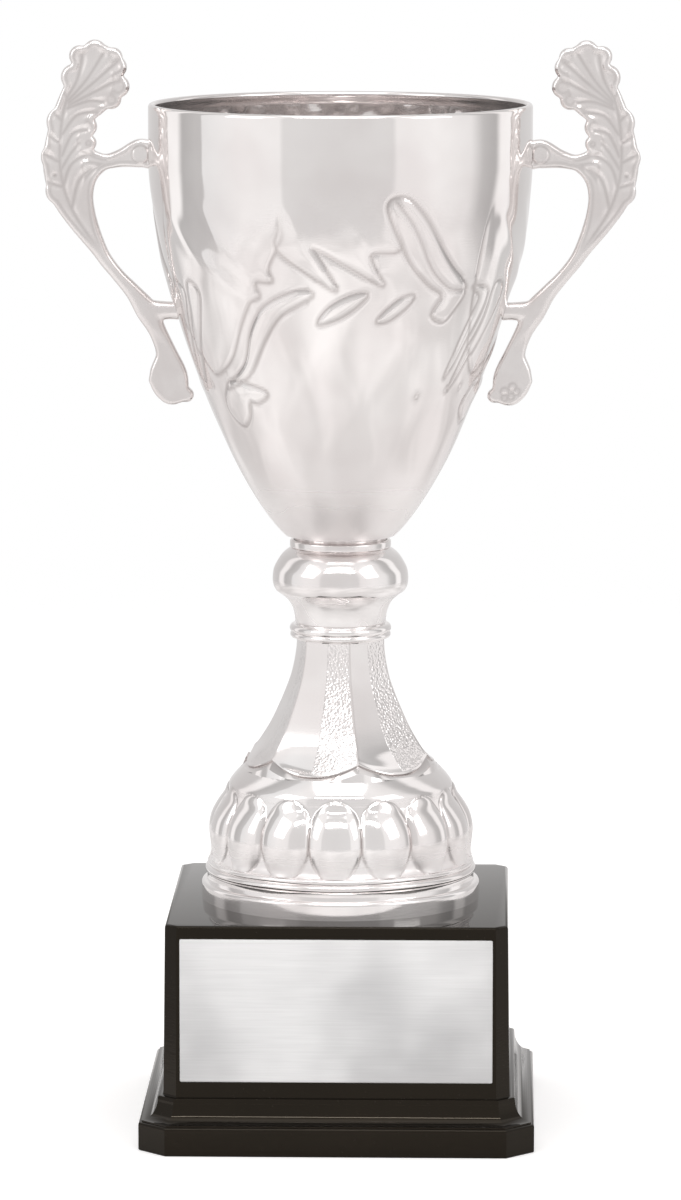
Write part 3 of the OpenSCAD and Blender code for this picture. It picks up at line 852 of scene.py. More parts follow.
handle = dict(
    thickness=cadBox("handle_right")[1].y - cadBox("handle_right")[0].y - 1.2,
    edge=1.35,        # half-thickness left at the very edge
    creaseDepth=0.55,
    softJoin=0.5,
    voxel=0.42,       # fineness of the joined shape
    smoothing=3,
    discSteps=40,
    paint=0.55,       # strength of the painted shade in the creases
    bossAt=(2.3, 16.0),   # round boss by the upper screw: gap from the wall, drop below the rim
    # gap out from the cup's wall, drop below its rim, half-width
    rib=[(9.8, 90, 4.9), (9.6, 86, 6.0), (7.6, 79, 3.4), (7.9, 72, 2.7), (9.4, 65, 3.4),
         (11.8, 59.5, 2.5), (15, 54.4, 2), (17.8, 49.5, 2.1), (19.6, 45, 2.6), (22.9, 36, 4.6),
         (25, 27.5, 6.6), (26, 19, 7), (26, 11, 5.8), (22.5, 2, 6.4), (17.5, -5, 8),
         (16.2, -12, 6.6)],
    arm=[(-0.5, 16, 4.6), (1.2, 15.9, 4.3), (2.8, 15.8, 4.4), (8.5, 17.3, 2.8), (14, 18.3, 2.3),
         (21, 16.5, 3.2)],
    web=[(11, 18.4, 1.7), (14.5, 19.4, 2), (18.4, 22.8, 2.4), (20.6, 28, 2.6), (21.4, 36, 2.4)],
    lug=[(-0.5, 65, 2.9), (2, 65, 2.7), (9, 65, 3.2)],
    lobes=[(28.5, 27.5, 4.4), (29.2, 17, 4.4), (27.2, 6, 4.6), (23.2, -8, 4), (21.4, -14.6, 3.2),
           (16.6, -16, 3.6), (11, -14.2, 3), (9.8, -11, 3.2), (9.2, -5, 3.4), (11.4, -1, 3),
           (19.2, 7.5, 3.2), (18.6, 12.6, 2.4),
           (14.2, 86.8, 1.9), (12.6, 89, 1.7), (10.6, 90.3, 1.9), (8.4, 91.8, 2.2), (6, 91.6, 2.2)],
    # creases between the leaf's lobes, each from the mid-vein to a notch in the edge
    creases=[[(25.3, -1.7), (22.1, -7.1), (20.7, -13), (20.4, -15.5)],
             [(24.9, -0.7), (19.2, -7.1), (13.8, -15.5)], [(24.7, 0), (17.2, -6.1), (8.9, -13.5)],
             [(24.6, 0.7), (16.2, -3.7), (7.6, -8.1)], [(25.1, 1.7), (18.2, -0.7), (13.8, -0.2)],
             [(26.6, 9.6), (22.1, 3.7), (15.7, 2.9)], [(26.9, 16.5), (23.6, 9.6), (19.2, 8.6)],
             [(27, 20.4), (24, 15.5), (21.4, 12.6)],
             [(27, 26.3), (24.2, 19.4), (18.8, 16), (14.6, 16.5)],
             [(25.3, 33.2), (22.1, 24.4), (17.8, 20.4)], [(25.3, -1.7), (27.3, -5.2)],
             [(26.9, 5.7), (31.5, 0.3)], [(27.4, 12.6), (33.5, 8.6)], [(27.6, 18.5), (33.3, 15.5)],
             [(26.9, 26.3), (33.5, 24.4)]],
    midVein=[(18.4, 47), (22.2, 40.1), (25.3, 33.2), (27.1, 25.4), (27.6, 17.5), (27.4, 10.6),
             (26.6, 3.7), (25.3, -1.7)],
    dimples=[(29.4, 22.6, 1.0), (28.2, 12.2, 0.7)],
    rosette=[(8.6, 90, 0.9), (10.6, 88.6, 0.9), (12.3, 90, 0.8), (9.4, 92, 0.7), (11.3, 91.6, 0.7)])


def besideCup(gap, drop):
    z = cup["rimZ"] - drop
    return float(cupRadius(z)) + gap, z


def placedRow(rows):
    return [besideCup(r[0], r[1]) for r in rows]


def bandLine(rows):
    line = smoothRow(rows, 5)
    return placedRow(line), [row[2] for row in line]


def slab(bm, outline, half):
    # an outline in x and z, pulled to a slab of even thickness
    face = bm.faces.new([bm.verts.new((x, -half, z)) for x, z in outline])
    grown = bmesh.ops.extrude_face_region(bm, geom=[face])
    tops = [g for g in grown["geom"] if isinstance(g, bmesh.types.BMVert)]
    bmesh.ops.translate(bm, verts=tops, vec=(0, 2 * half, 0))


def disc(bm, centre, radius, half):
    turned = Matrix.Translation((centre[0], 0, centre[1])) @ Matrix.Rotation(math.pi / 2, 4, "X")
    bmesh.ops.create_cone(bm, cap_ends=True, segments=handle["discSteps"],
                          radius1=radius, radius2=radius, depth=2 * half, matrix=turned)


def roundBar(bm, line, widths, half):
    # a bar of changing width along a line: a short slab for each stretch, a disc at each joint
    for i in range(len(line) - 1):
        a, b = Vector(line[i]), Vector(line[i + 1])
        side = Vector((-(b - a).y, (b - a).x)).normalized()
        slab(bm, [a + side * widths[i], b + side * widths[i + 1], b - side * widths[i + 1],
                  a - side * widths[i]], half)
        if i:
            disc(bm, a, widths[i], half)
    disc(bm, Vector(line[-1]), widths[-1], half)


def handleDepth(x, z, bands):
    # how far inside the handle's outline each place lies, with the joins between parts eased
    soft = handle["softJoin"]
    total = np.zeros(x.shape)
    for line, widths in bands:
        total += np.exp(np.clip(-lineDistance(x, z, line, widths), -20, 9) / soft)
    for gap, drop, radius in handle["lobes"]:
        cx, cz = besideCup(gap, drop)
        total += np.exp(np.clip(radius - np.hypot(x - cx, z - cz), -20, 9) / soft)
    return np.maximum(soft * np.log(np.maximum(total, 1e-9)), 0)


def awayFrom(x, z, gap, drop):
    cx, cz = besideCup(gap, drop)
    return np.hypot(x - cx, z - cz)


def sculptMarks(co, thick, paintedShade):
    # the dimples in the leaf, the flower cluster on the front of its foot, and the boss, with painted
    # shade in their hollows and rings
    x, z = co[:, 0].copy(), co[:, 2]
    for gap, low, size in handle["dimples"]:
        away = awayFrom(x, z, gap, low)
        thick = thick - 0.5 * bump(away, size)
        paintedShade = np.maximum(paintedShade, 0.8 * bump(away, size * 0.6))
    frontOnly = co[:, 1] < 0
    for gap, low, size in handle["rosette"]:
        away = awayFrom(x, z, gap, low)
        petal = 0.3 * bump(away, size) - 0.12 * bump(away - 1.3 * size, 0.5)
        thick = thick + frontOnly * petal
        paintedShade = np.maximum(paintedShade, frontOnly * 0.5 * bump(away - 1.3 * size, 0.45))
    away = awayFrom(x, z, *handle["bossAt"])
    thick = thick + 0.45 * bump(away - 2.1, 0.45) + 0.25 * bump(away, 1.2)
    thick = thick - 0.3 * bump(away - 3, 0.5)
    return thick, np.maximum(paintedShade, 0.7 * bump(away - 2.75, 0.3))


def sculptHandle(co, bands):
    # rounds the edges, raises the middle of each part, and presses in the creases
    half = handle["thickness"] / 2
    edge = handle["edge"]
    x, z = co[:, 0].copy(), co[:, 2].copy()
    drop = cup["rimZ"] - z
    depth = handleDepth(x, z, bands)
    inRound = 1 - np.clip(depth / 1.3, 0, 1)
    shoulder = edge + (half - 0.35 - edge) * np.sqrt(np.clip(1 - inRound ** 2, 0, 1))
    leafness = 1 - ease(drop, 33, 42) + ease(drop, 70, 76)
    field = -0.35 * ease(depth, 1.2, 2.4) + 0.3 * ease(depth, 3, 7)
    field = field * np.where(drop > 60, 0.3, 1)   # flatter on the foot leaf
    thick = shoulder + leafness * field + (1 - leafness) * 0.35 * ease(depth, 0.8, 2.2)
    # ribs swell between the creases
    crease = lineDistance(x, z, placedRow(smoothRow(handle["midVein"], 4)))
    for line in handle["creases"]:
        crease = np.minimum(crease, lineDistance(x, z, placedRow(smoothRow(line, 4))))
    onLeaf = (1 - ease(drop, 40, 47)) * ease(depth, 0.2, 1.4)
    thick = thick + handle["creaseDepth"] * (ease(crease, 0, 2.4) - 0.8) * onLeaf
    # painted shade along the creases and just inside the leaf's edge
    thick, paintedShade = sculptMarks(co, thick, 0.5 * bump(crease, 0.5) * onLeaf)
    paintedShade = np.maximum(paintedShade, 0.4 * bump(depth - 1.75, 0.4) * onLeaf)
    co[:, 1] = co[:, 1] / half * np.clip(thick, edge, half + 0.55)
    # the lugs end on the cup's own wall
    wall = cupRadius(z) + 0.02
    reach = np.sqrt(np.maximum(wall ** 2 - co[:, 1] ** 2, 0))
    co[:, 0] = np.maximum(co[:, 0], reach)
    return co, paintedShade


def buildHandle(name, node, side):
    half = handle["thickness"] / 2
    bands = [bandLine(handle[part]) for part in ("rib", "arm", "web", "lug")]
    bm = bmesh.new()
    for line, widths in bands:
        roundBar(bm, line, widths, half)
    for gap, drop, radius in handle["lobes"]:
        disc(bm, besideCup(gap, drop), radius, half)
    bmesh.ops.recalc_face_normals(bm, faces=bm.faces)
    rough = makeObject(name + "Rough", bm)
    joined = rough.modifiers.new("join", "REMESH")
    joined.mode = "VOXEL"
    joined.voxel_size = handle["voxel"]
    evaluated = rough.evaluated_get(bpy.context.evaluated_depsgraph_get())
    mesh = bpy.data.meshes.new_from_object(evaluated)
    bpy.data.objects.remove(rough)
    mesh.name = name
    co, paintedShade = sculptHandle(coordinates(mesh), bands)
    setCoordinates(mesh, co)
    bm = bmesh.new()
    bm.from_mesh(mesh)
    for _ in range(handle["smoothing"]):
        bmesh.ops.smooth_vert(bm, verts=bm.verts, factor=0.5, use_axis_x=True, use_axis_y=True,
                              use_axis_z=True)
    if side < 0:
        bmesh.ops.rotate(bm, verts=bm.verts, cent=(0, 0, 0),
                         matrix=Matrix.Rotation(math.pi, 3, "Z"))
    bmesh.ops.recalc_face_normals(bm, faces=bm.faces)
    bm.to_mesh(mesh)
    bm.free()
    piece = bpy.data.objects.new(name, mesh)
    bpy.context.scene.collection.objects.link(piece)
    # painted shade in the creases, dimples and rings
    paint(mesh, "paintedShade", handle["paint"] * paintedShade)
    finishPiece(piece, node, castSilver, 60)


buildHandle("handleRightLeaf", "handle_right", 1)
buildHandle("handleLeftLeaf", "handle_left", -1)
print("handles ready")


def buildCollar():
    low, high = cadBox("seat_collar")
    r, h = high.x, high.z - low.z
    outline = [(rodHole, 0), (r - 0.6, 0)] + arcPoints((r - 0.6, 0.6), 0.6, -90, 0, 6)
    outline += arcPoints((r - 0.7, h - 0.7), 0.7, 0, 90, 8)
    outline += [(cup["neckRadius"] + 0.35, h), (cup["neckRadius"] + 0.2, h - 0.2),
                (cup["neckRadius"] + 0.2, 1), (rodHole, 1)]
    piece = makeObject("seatCollarRing", lathe([(a, b + low.z) for a, b in outline], ringSteps))
    finishPiece(piece, "seat_collar", stemSilver)


knob = dict(
    waist=14.3,
    top=15.8,
    crease=0.42,   # share of the height where the flare meets the round
    widest=0.6,    # and where the round is widest
    dull=0.8,
    steps=256)


def buildKnob():
    low, high = cadBox("knob")
    r, h = high.x, high.z - low.z
    crease = knob["crease"] * h
    widest = knob["widest"] * h
    outline = [(rodHole, 0), (knob["waist"] - 0.3, 0), (knob["waist"], 0.4)]
    outline += curvePoints((knob["waist"], 1), (knob["waist"] + 0.4, crease - 4),
                           (knob["waist"] + 2.4, crease - 2), (r - 1.5, crease), 22)
    outline += curvePoints((r - 1.15, crease + 0.25), (r - 0.4, crease + 1.2),
                           (r, widest - 2), (r, widest), 10)
    shoulder = [(r, widest), (r - 0.4, widest + 2.8), (r - 1.7, widest + 5.4),
                (r - 3.1, widest + 7.4), (r - 4.7, widest + 8.8)]
    outline += [tuple(p) for p in smoothRow(shoulder, 5)][1:]
    outline += [(knob["top"] + 0.3, h - 0.5), (knob["top"] + 0.1, h - 0.2), (knob["top"] - 0.3, h),
                (rodHole, h)]
    piece = makeObject("knobTurned", lathe([(a, b + low.z) for a, b in outline], knob["steps"]))
    # the flare under the crease is satin, the round above it bright
    up = coordinates(piece.data)[:, 2] - low.z
    paint(piece.data, "dull", knob["dull"] * (1 - ease(up, crease - 0.6, crease + 0.2)))
    finishPiece(piece, "knob", stemSilver, 32)


def buildNeckRing():
    low, high = cadBox("neck_ring")
    r, h = high.x, high.z - low.z
    outline = [(rodHole, 0), (r - 1.7, 0), (r - 1.5, 0.35)]
    outline += arcPoints((r - 1.15, 1.35), 1.0, -90, 55, 8)
    outline += arcPoints((r - 1.5, h / 2 + 0.8), 1.5, -20, 90, 10)
    outline += [(r - 1.9, h - 0.3), (r - 2.0, h), (rodHole, h)]
    piece = makeObject("neckRingBead", lathe([(a, b + low.z) for a, b in outline], ringSteps))
    finishPiece(piece, "neck_ring", stemSilver)


buildCollar()
buildKnob()
buildNeckRing()
print("knob and rings ready")


riser = dict(
    lowZ=cadBox("riser")[0].z,
    height=cadBox("riser")[1].z - cadBox("riser")[0].z,
    gadroons=15,
    gadroonStart=11.0,    # degrees from the front to a crease between two gadroons
    gadroonSwell=2.6,
    gadroonLow=11.6,      # heights above the base
    gadroonHigh=36.0,
    facets=6,
    hexTurn=13.0,         # degrees from the front to a corner of the column
    tongueLow=42.4,       # the facets' rounded lower ends, at their middles
    tongueRise=3.8,       # how much higher they end at the corners
    lip=0.75,             # how far the facets stand out over the collar
    tube=30.0,            # radius of the column before its facets are shaped
    steps=720)

footBands = ([(44, 0), (44, 4.4)] + arcPoints((42.9, 4.5), 1.1, 0, 90, 5)
             + [(42.4, 5.7), (42.2, 6.1), (42.2, 7.9), (42.3, 8.2)]
             + arcPoints((41.5, 9.35), 1.25, -55, 62, 8) + arcPoints((41.0, 11.4), 1.05, -50, 70, 7))
# radius and height of the ground under the gadroons, then the plain collar that the facets end on
footGround = smoothRow([(40.6, 12.6), (39.6, 14.2), (39.3, 17), (39.4, 22), (38.6, 26), (37, 30),
                        (35.6, 33), (35.4, 35), (35.2, 36.6), (34, 38.4), (32.4, 40.2),
                        (30.8, 41.8)], 5)
# radius and height along the column's corners
cornerLine = [(32.6, 41.6), (31.7, 42.6), (29.9, 44.8), (28.2, 47.2), (26.3, 49.8), (23.1, 54.9),
              (20.6, 60), (18.3, 65.2), (16.4, 70.3), (15.2, 75.4), (14.6, 79.5), (14.5, 82.5)]


def riserOutline():
    # the foot's bands and ground, the column as a plain tube, then back down the inside
    low, top, tube = riser["tongueLow"], riser["height"], riser["tube"]
    heights = [low - 0.05] + [low + k for k in (0, 0.12, 0.3, 0.6, 1.0)]
    heights += list(np.arange(low + 1.6, top - 0.8, 0.8)) + [top]
    rows = footBands + [tuple(p) for p in footGround] + [(tube, z) for z in heights]
    inner = [(rodHole, top), (rodHole, top - 4), (10.5, top - 4), (10.5, top - 16), (14, 56),
             (27, 40), (38, 24), (38, 0)]
    return rows + inner + [rows[0]]


def gadroonShape(turn, z, onFoot):
    # how far the lobes swell out, and the painted shade in the crease round each
    cell = 360 / riser["gadroons"]
    lobe = ((turn - riser["gadroonStart"]) % cell - cell / 2) / (cell / 2)
    middle = (riser["gadroonLow"] + riser["gadroonHigh"]) / 2
    rise = (z - middle) / ((riser["gadroonHigh"] - riser["gadroonLow"]) / 2)
    # both ends are round, the upper one a little fuller
    q = lobe ** 2 + np.where(rise > 0, np.abs(rise) ** 3, np.abs(rise) ** 2.6)
    swell = np.sqrt(np.clip(1 - q, 0, 1))
    outward = np.where(onFoot, riser["gadroonSwell"] * swell * (1 - 0.35 * ease(z, 26, 36)), 0)
    paintedShade = np.where(onFoot & (rise > -0.5), 0.45 * bump(1 - np.clip(q, 0, 2), 0.12), 0)
    return outward, paintedShade


def columnRadius(z, facet, half):
    # flat facets that turn rounder where they flare out at the foot
    corners = smoothRow(cornerLine, 5)
    cornerAt = np.interp(z, corners[:, 1], corners[:, 0])
    flat = 0.42 + 0.58 * ease(z, riser["tongueLow"], riser["tongueLow"] + 9)
    return cornerAt * (math.cos(math.radians(half)) / np.cos(np.radians(facet))) ** flat


def shapeRiser(co):
    # moves the spun outline to its gadroons and facets; gives the painted shade in its creases and
    # along its edges, and the stipple and dull paint
    radial = np.hypot(co[:, 0], co[:, 1])
    z = co[:, 2].copy()
    turn = np.degrees(np.arctan2(co[:, 0], -co[:, 1]))
    turn = np.round(turn * riser["steps"] / 360) * 360 / riser["steps"]
    onColumn = np.abs(radial - riser["tube"]) < 0.05
    onFoot = ~onColumn & (radial > riser["tube"] + 0.2) & (z > 12.4) & (z < 41)
    outward, paintedShade = gadroonShape(turn, z, onFoot)
    half = 180 / riser["facets"]
    facet = (turn - riser["hexTurn"]) % (2 * half) - half
    # each facet ends in a tongue, lowest at its middle, and the rows near it follow
    low = riser["tongueLow"]
    arch = riser["tongueRise"] * (facet / half) ** 2
    follow = 1 - ease(z, low + 1, low + 16)
    lower = ease(z, 36.5, low - 0.3)
    z = np.where(onColumn, z + arch * follow, z)
    z = np.where(onFoot, z + arch * lower, z)
    column = columnRadius(z, facet, half)
    ground = np.interp(z, footGround[:, 1], footGround[:, 0])
    behind = np.minimum(ground, column - riser["lip"])
    startZ = low + arch
    rounding = 1 - np.clip((z - startZ) / 0.6, 0, 1)
    tongue = column - riser["lip"] * (1 - np.sqrt(np.clip(1 - rounding ** 2, 0, 1)))
    tongue = tongue + 0.35 * bump(z - startZ - 0.7, 0.6)   # soft bead along its edge
    shaped = np.where(onColumn, np.where(z < startZ - 0.01, behind, tongue), radial)
    collar = onFoot & (z > 36.6)
    shaped = np.where(collar, np.minimum(shaped, ground), shaped) + outward
    # painted shade under the tongues' edges and down the column's corners
    edges = np.where(onColumn | collar, 0.8 * bump(z - startZ + 0.15, 0.35), 0)
    ridges = np.where(onColumn, 0.5 * bump((half - np.abs(facet)) / 0.9, 1), 0)
    paintedShade = np.maximum(paintedShade, np.maximum(edges, ridges))
    co[:, 0] = shaped * np.sin(np.radians(turn))
    co[:, 1] = -shaped * np.cos(np.radians(turn))
    co[:, 2] = z + riser["lowZ"]
    # one half of each facet is stippled, and the gadroons' feet are dull
    inStipple = (facet > 0.2) & (facet < half - 1) & (z > startZ + 1.2) & onColumn
    return 0.6 * paintedShade, inStipple.astype(float), 0.9 * (1 - ease(z, 14, 24)) * ease(z, 11, 13)


def buildRiser():
    bm = bmesh.new()
    spinChain(bm, riserOutline(), riser["steps"])
    bmesh.ops.remove_doubles(bm, verts=bm.verts, dist=0.0005)
    piece = makeObject("riserFluted", bm)
    co = coordinates(piece.data)
    paintedShade, stipple, dull = shapeRiser(co)
    setCoordinates(piece.data, co)
    paint(piece.data, "paintedShade", paintedShade)
    paint(piece.data, "stipple", stipple)
    paint(piece.data, "dull", dull)
    bm = bmesh.new()
    bm.from_mesh(piece.data)
    bmesh.ops.recalc_face_normals(bm, faces=bm.faces)
    bm.to_mesh(piece.data)
    bm.free()
    finishPiece(piece, "riser", stemSilver, 38)


buildRiser()
print("riser ready")


base = dict(
    width=cadBox("base_shell")[1].x * 2,
    height=cadBox("base_shell")[1].z,
    wallHeight=9.0,
    wallRound=0.9,      # top edge of the plinth's wall
    topRound=1.0,       # top edge of the block
    coveHeight=8.0,
    coveIn=6.0,
    stepIn=1.0,         # flat step between the wall and the cove
    ledge=1.7,
    draft=0.7,          # lean of the block's walls in degrees
    chamfer=8.6,
    shell=3.0,
    coverThick=3.0,
    feltThick=1.5)
plate = dict(
    width=97.0,
    height=45.0,
    thick=0.8,
    corner=0.5,
    bevel=0.38,
    border=1.6,         # from the plate to the edge of its sunk field
    recess=0.6,
    fieldBevel=0.1,     # at the edge of the field
    tape=0.3,
    middle=27.5)        # above the ledge, up the leaning wall


def chamferAt(inset):
    return max(1, base["chamfer"] - (2 - math.sqrt(2)) * inset)


def cutCorners(inset, z):
    h = base["width"] / 2 - inset
    c = h - chamferAt(inset)
    return [(h, -c, z), (h, c, z), (c, h, z), (-c, h, z), (-h, c, z), (-h, -c, z), (-c, -h, z),
            (c, -h, z)]


def bearing(place):
    return math.atan2(place[1], place[0])


def cutSquare(bm, inset, z):
    # square face with its corners cut off
    return bm.faces.new([bm.verts.new(corner) for corner in cutCorners(inset, z)])


def followSteps(bm, face, steps):
    # pulls the face through steps of (distance in from the plinth's wall, height)
    for inset, z in steps:
        grown = bmesh.ops.extrude_face_region(bm, geom=[face])
        bmesh.ops.delete(bm, geom=[face], context="FACES_ONLY")
        face = [g for g in grown["geom"] if isinstance(g, bmesh.types.BMFace)][0]
        for vert, place in zip(sorted(face.verts, key=lambda v: bearing(v.co)),
                               sorted(cutCorners(inset, z), key=bearing)):
            vert.co = place
    return face


def baseSteps():
    # up the outside: plinth wall, step, cove, ledge, leaning block wall, rounded top
    wall, cove = base["wallHeight"], base["coveHeight"]
    ledgeIn = base["coveIn"] + base["ledge"]
    ledgeZ = wall + cove
    lean = math.tan(math.radians(base["draft"]))
    edge, roundWall = base["topRound"], base["wallRound"]
    topIn = ledgeIn + (base["height"] - ledgeZ) * lean
    coveTop = ledgeZ - 0.7
    steps = [(0, wall - roundWall)]
    steps += [(roundWall - a, b)
              for a, b in arcPoints((0, wall - roundWall), roundWall, 20, 90, 4)][:-1]
    steps += [(base["stepIn"], wall)]
    sweep = base["coveIn"] - base["stepIn"]
    steps += [(base["stepIn"] + sweep * math.sin(turn), coveTop - (cove - 1.2) * math.cos(turn))
              for turn in np.linspace(0, math.pi / 2, 13)[:-1]]
    steps += [(base["coveIn"], coveTop), (base["coveIn"] + 0.25, ledgeZ - 0.15),
              (base["coveIn"] + 0.7, ledgeZ), (ledgeIn - 0.35, ledgeZ), (ledgeIn - 0.1, ledgeZ + 0.15),
              (ledgeIn + 0.01, ledgeZ + 0.6)]
    steps += [(topIn - 0.02, base["height"] - edge)]
    steps += [(topIn + edge - a, b)
              for a, b in arcPoints((0, base["height"] - edge), edge, 15, 90, 5)]
    return steps


def cutPlateField(bm):
    # the sunk field in the leaning front wall
    lean = math.radians(base["draft"])
    ledgeZ = base["wallHeight"] + base["coveHeight"]
    halfW = plate["width"] / 2 + plate["border"]
    halfH = plate["height"] / 2 + plate["border"]
    up = Vector((0, math.sin(lean), math.cos(lean)))
    out = Vector((0, -math.cos(lean), math.sin(lean)))
    front = max((f for f in bm.faces if f.normal.y < -0.9), key=lambda f: f.calc_area())
    foot = Vector((0, -(base["width"] / 2 - base["coveIn"] - base["ledge"]), ledgeZ))
    middle = foot + up * plate["middle"]
    pieces = [front]
    for direction, reach in ((Vector((1, 0, 0)), halfW), (Vector((-1, 0, 0)), halfW),
                             (up, halfH), (-up, halfH)):
        edges = list({e for f in pieces for e in f.edges})
        verts = list({v for f in pieces for v in f.verts})
        cut = bmesh.ops.bisect_plane(bm, geom=verts + edges + pieces,
                                     plane_co=middle + direction * reach, plane_no=direction)
        near = [g for g in cut["geom"] if isinstance(g, bmesh.types.BMFace)]
        pieces = [f for f in set(near + pieces) if f.is_valid
                  and (f.calc_center_median() - middle).dot(direction) < reach]
        pieces = [min(pieces, key=lambda f: (f.calc_center_median() - middle).length)]
    field = pieces[0]
    bmesh.ops.inset_region(bm, faces=[field], thickness=0.12,
                           depth=-plate["fieldBevel"], use_even_offset=True)
    bmesh.ops.inset_region(bm, faces=[field], thickness=0.02,
                           depth=plate["fieldBevel"] - plate["recess"], use_even_offset=True)
    return middle, out


def buildBase():
    bm = bmesh.new()
    followSteps(bm, cutSquare(bm, 0, 0.35), baseSteps())
    # underside: a narrow foot, the pocket for the board, then the deep hollow
    shell = base["shell"]
    pocket = base["coverThick"] + base["feltThick"]
    blockIn = base["coveIn"] + base["ledge"] + 0.7 + shell
    followSteps(bm, cutSquare(bm, 0, 0.35),
                [(0.35, 0), (shell, 0), (shell, pocket), (blockIn, pocket),
                 (blockIn, base["height"] - shell)])
    bmesh.ops.remove_doubles(bm, verts=bm.verts, dist=0.0005)
    bmesh.ops.recalc_face_normals(bm, faces=bm.faces)
    middle, out = cutPlateField(bm)
    piece = makeObject("baseMoulding", bm)
    finishPiece(piece, "base_shell", glossBlack, 28)
    return middle, out


def buildPlate(middle, out):
    bm = bmesh.new()
    bmesh.ops.create_cube(bm, size=1)
    bmesh.ops.scale(bm, verts=bm.verts, vec=(plate["width"], plate["thick"], plate["height"]))
    # rounded corners, then a narrow bright bevel round the front face
    posts = [e for e in bm.edges if abs((e.verts[0].co - e.verts[1].co).normalized().y) > 0.9]
    bmesh.ops.bevel(bm, geom=posts, affect="EDGES", offset=plate["corner"], segments=3,
                    profile=0.5, material=-1)
    face = min(bm.faces, key=lambda f: f.calc_center_median().y)
    bmesh.ops.bevel(bm, geom=list(face.edges), affect="EDGES", offset=plate["bevel"],
                    segments=2, profile=0.5, material=-1)
    centre = middle + out * (plate["tape"] - plate["recess"] + plate["thick"] / 2)
    lean = Matrix.Rotation(math.radians(-base["draft"]), 4, "X")
    bmesh.ops.transform(bm, matrix=Matrix.Translation(centre) @ lean, verts=bm.verts)
    piece = makeObject("plateBrushed", bm)
    finishPiece(piece, "plate", brushed, 20)


plateMiddle, plateOut = buildBase()
buildPlate(plateMiddle, plateOut)
for nodeName, material in (("ballast", castIron), ("base_cover", board), ("felt_pad", feltCloth),
                           ("plate_tape", adhesive)):
    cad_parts[nodeName].data.materials[0] = material
print("base ready")


stage = dict(
    tableRadius=1.2,
    thinFrom=0.3,            # metres from the middle where the table starts to fade
    cloudScale=3.0,
    cloudLight=(0.95, 0.94, 0.935),
    cloudDark=(0.70, 0.69, 0.685),
    seenWhite=(0.8, 0.79, 0.785),
    glowMirrored=0.035,
    glowSeen=0.42,
    cameraTurn=1.5,          # degrees round to the right of the front
    cameraAway=1.9346,
    cameraHigh=0.448,
    cameraDown=8.31,
    lens=186.0)


def buildFloor():
    bm = bmesh.new()
    bmesh.ops.create_circle(bm, cap_ends=True, segments=96, radius=stage["tableRadius"])
    piece = makeObject("paleFloor", bm)
    material, tree, surface, place = startMaterial("paleFloorPaint")
    cloud = placeGroup(tree, cloudyTone, place, {"Scale": stage["cloudScale"]})
    colour = mixColours(tree, cloud, "Tone", stage["cloudLight"], stage["cloudDark"])
    # the table looks evenly white from the front, but gives the metal soft clouds to mirror
    path = addNode(tree, "ShaderNodeLightPath")
    even = coverColour(tree, colour, mixResult, stage["seenWhite"], path, "Is Camera Ray")
    wire(tree, even, mixResult, surface, "Base Color")
    surface.inputs["Roughness"].default_value = 0.6
    surface.inputs["Specular IOR Level"].default_value = 0.1
    surface.inputs["Emission Color"].default_value = (1, 1, 1, 1)
    lift = scaleRange(tree, path, "Is Camera Ray", stage["glowMirrored"], stage["glowSeen"])
    wire(tree, lift, "Result", surface, "Emission Strength")
    # it thins out towards its rim, so no edge shows in the metal
    away = addNode(tree, "ShaderNodeVectorMath", operation="LENGTH")
    wire(tree, place, "Object", away, 0)
    thin = addNode(tree, "ShaderNodeMapRange",
                   {"From Min": stage["thinFrom"], "From Max": stage["tableRadius"]},
                   interpolation_type="SMOOTHSTEP")
    wire(tree, away, "Value", thin, "Value")
    clear = addNode(tree, "ShaderNodeBsdfTransparent")
    blend = addNode(tree, "ShaderNodeMixShader")
    wire(tree, thin, "Result", blend, 0)
    wire(tree, surface, 0, blend, 1)
    wire(tree, clear, 0, blend, 2)
    wire(tree, blend, 0, tree.nodes["Material Output"], 0)
    piece.data.materials.append(material)


# degrees from the camera's side of the object, and brightness there, the same on both sides
worldBands = [(0, 0.74), (33, 0.76), (35, 0.92), (60, 0.96), (86, 0.86), (96, 0.58), (108, 0.50),
              (113, 1.0), (124, 1.0), (129, 0.62), (160, 0.7), (180, 0.85)]


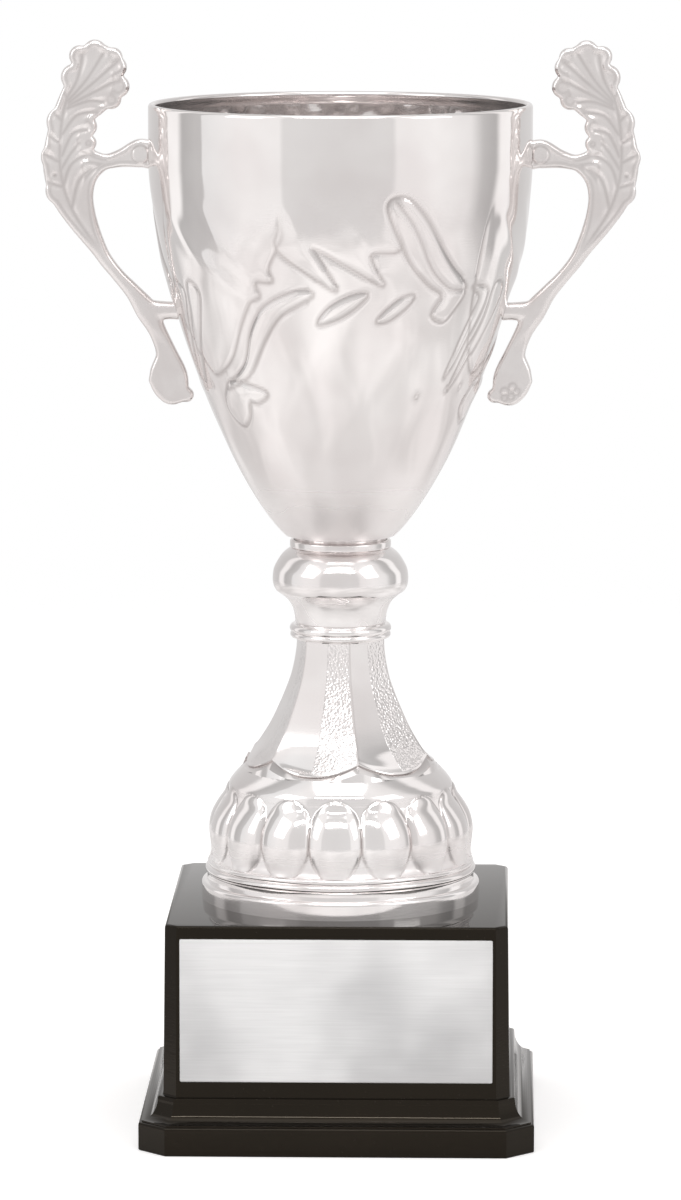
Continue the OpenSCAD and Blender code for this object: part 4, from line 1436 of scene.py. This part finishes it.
def buildWorld():
    # white studio: darker behind the camera and in narrow gaps at the sides
    world = bpy.data.worlds.new("whiteStudio")
    bpy.context.scene.world = world
    world.use_nodes = True
    tree = world.node_tree
    background = tree.nodes["Background"]
    place = addNode(tree, "ShaderNodeTexCoord")
    around = addNode(tree, "ShaderNodeTexGradient", gradient_type="RADIAL")
    ramp = addNode(tree, "ShaderNodeValToRGB")
    stops = []
    for angle, light in worldBands:
        stops.append((0.25 + angle / 360, light))
    for angle, light in worldBands[1:]:
        stops.append(((0.25 - angle / 360) % 1, light))
    stops.sort()
    elements = ramp.color_ramp.elements
    while len(elements) > 1:
        elements.remove(elements[0])
    elements[0].position = stops[0][0]
    elements[0].color = (stops[0][1],) * 3 + (1,)
    for position, light in stops[1:]:
        element = elements.new(position)
        element.color = (light, light * 0.985, light * 0.98, 1)
    wire(tree, place, "Generated", around, "Vector")
    wire(tree, around, "Fac", ramp, "Fac")
    path = addNode(tree, "ShaderNodeLightPath")
    seen = coverColour(tree, ramp, "Color", (1, 1, 1), path, "Is Camera Ray")
    wire(tree, seen, mixResult, background, "Color")
    background.inputs["Strength"].default_value = 1.0


# degrees round from the front and up, metres away, width and height in metres, watts
softboxes = dict(
    softboxLeft=dict(turn=-58, rise=30, away=1.3, size=(0.55, 0.8), power=1.7),
    softboxRight=dict(turn=58, rise=30, away=1.3, size=(0.55, 0.8), power=1.7),
    softboxTop=dict(turn=0, rise=80, away=1.5, size=(1.0, 1.0), power=2.4),
    frontStrip=dict(turn=0, rise=50, away=1.2, size=(0.9, 0.07), power=2.0))


def addSoftbox(name, turn, rise, away, size, power):
    data = bpy.data.lights.new(name, "AREA")
    data.shape = "RECTANGLE"
    data.size, data.size_y = size
    data.energy = power
    lamp = bpy.data.objects.new(name, data)
    a, b = math.radians(turn), math.radians(rise)
    target = Vector((0, 0, 0.17))
    lamp.location = target + away * Vector((math.sin(a) * math.cos(b), -math.cos(a) * math.cos(b),
                                            math.sin(b)))
    lamp.rotation_euler = (target - lamp.location).to_track_quat("-Z", "Y").to_euler()
    bpy.context.scene.collection.objects.link(lamp)


def buildCamera():
    data = bpy.data.cameras.new("viewer")
    data.lens = stage["lens"]
    data.sensor_width = 36
    data.clip_start = 0.05
    data.clip_end = 50
    data.dof.use_dof = False
    camera = bpy.data.objects.new("viewer", data)
    turn = math.radians(stage["cameraTurn"])
    away = stage["cameraAway"]
    camera.location = (math.sin(turn) * away, -math.cos(turn) * away, stage["cameraHigh"])
    camera.rotation_euler = (math.radians(90 - stage["cameraDown"]), 0, turn)
    bpy.context.scene.collection.objects.link(camera)
    bpy.context.scene.camera = camera


buildFloor()
buildWorld()
for lampName, lamp in softboxes.items():
    addSoftbox(lampName, **lamp)
buildCamera()
bpy.context.scene.view_settings.view_transform = "Standard"
print("stage ready")
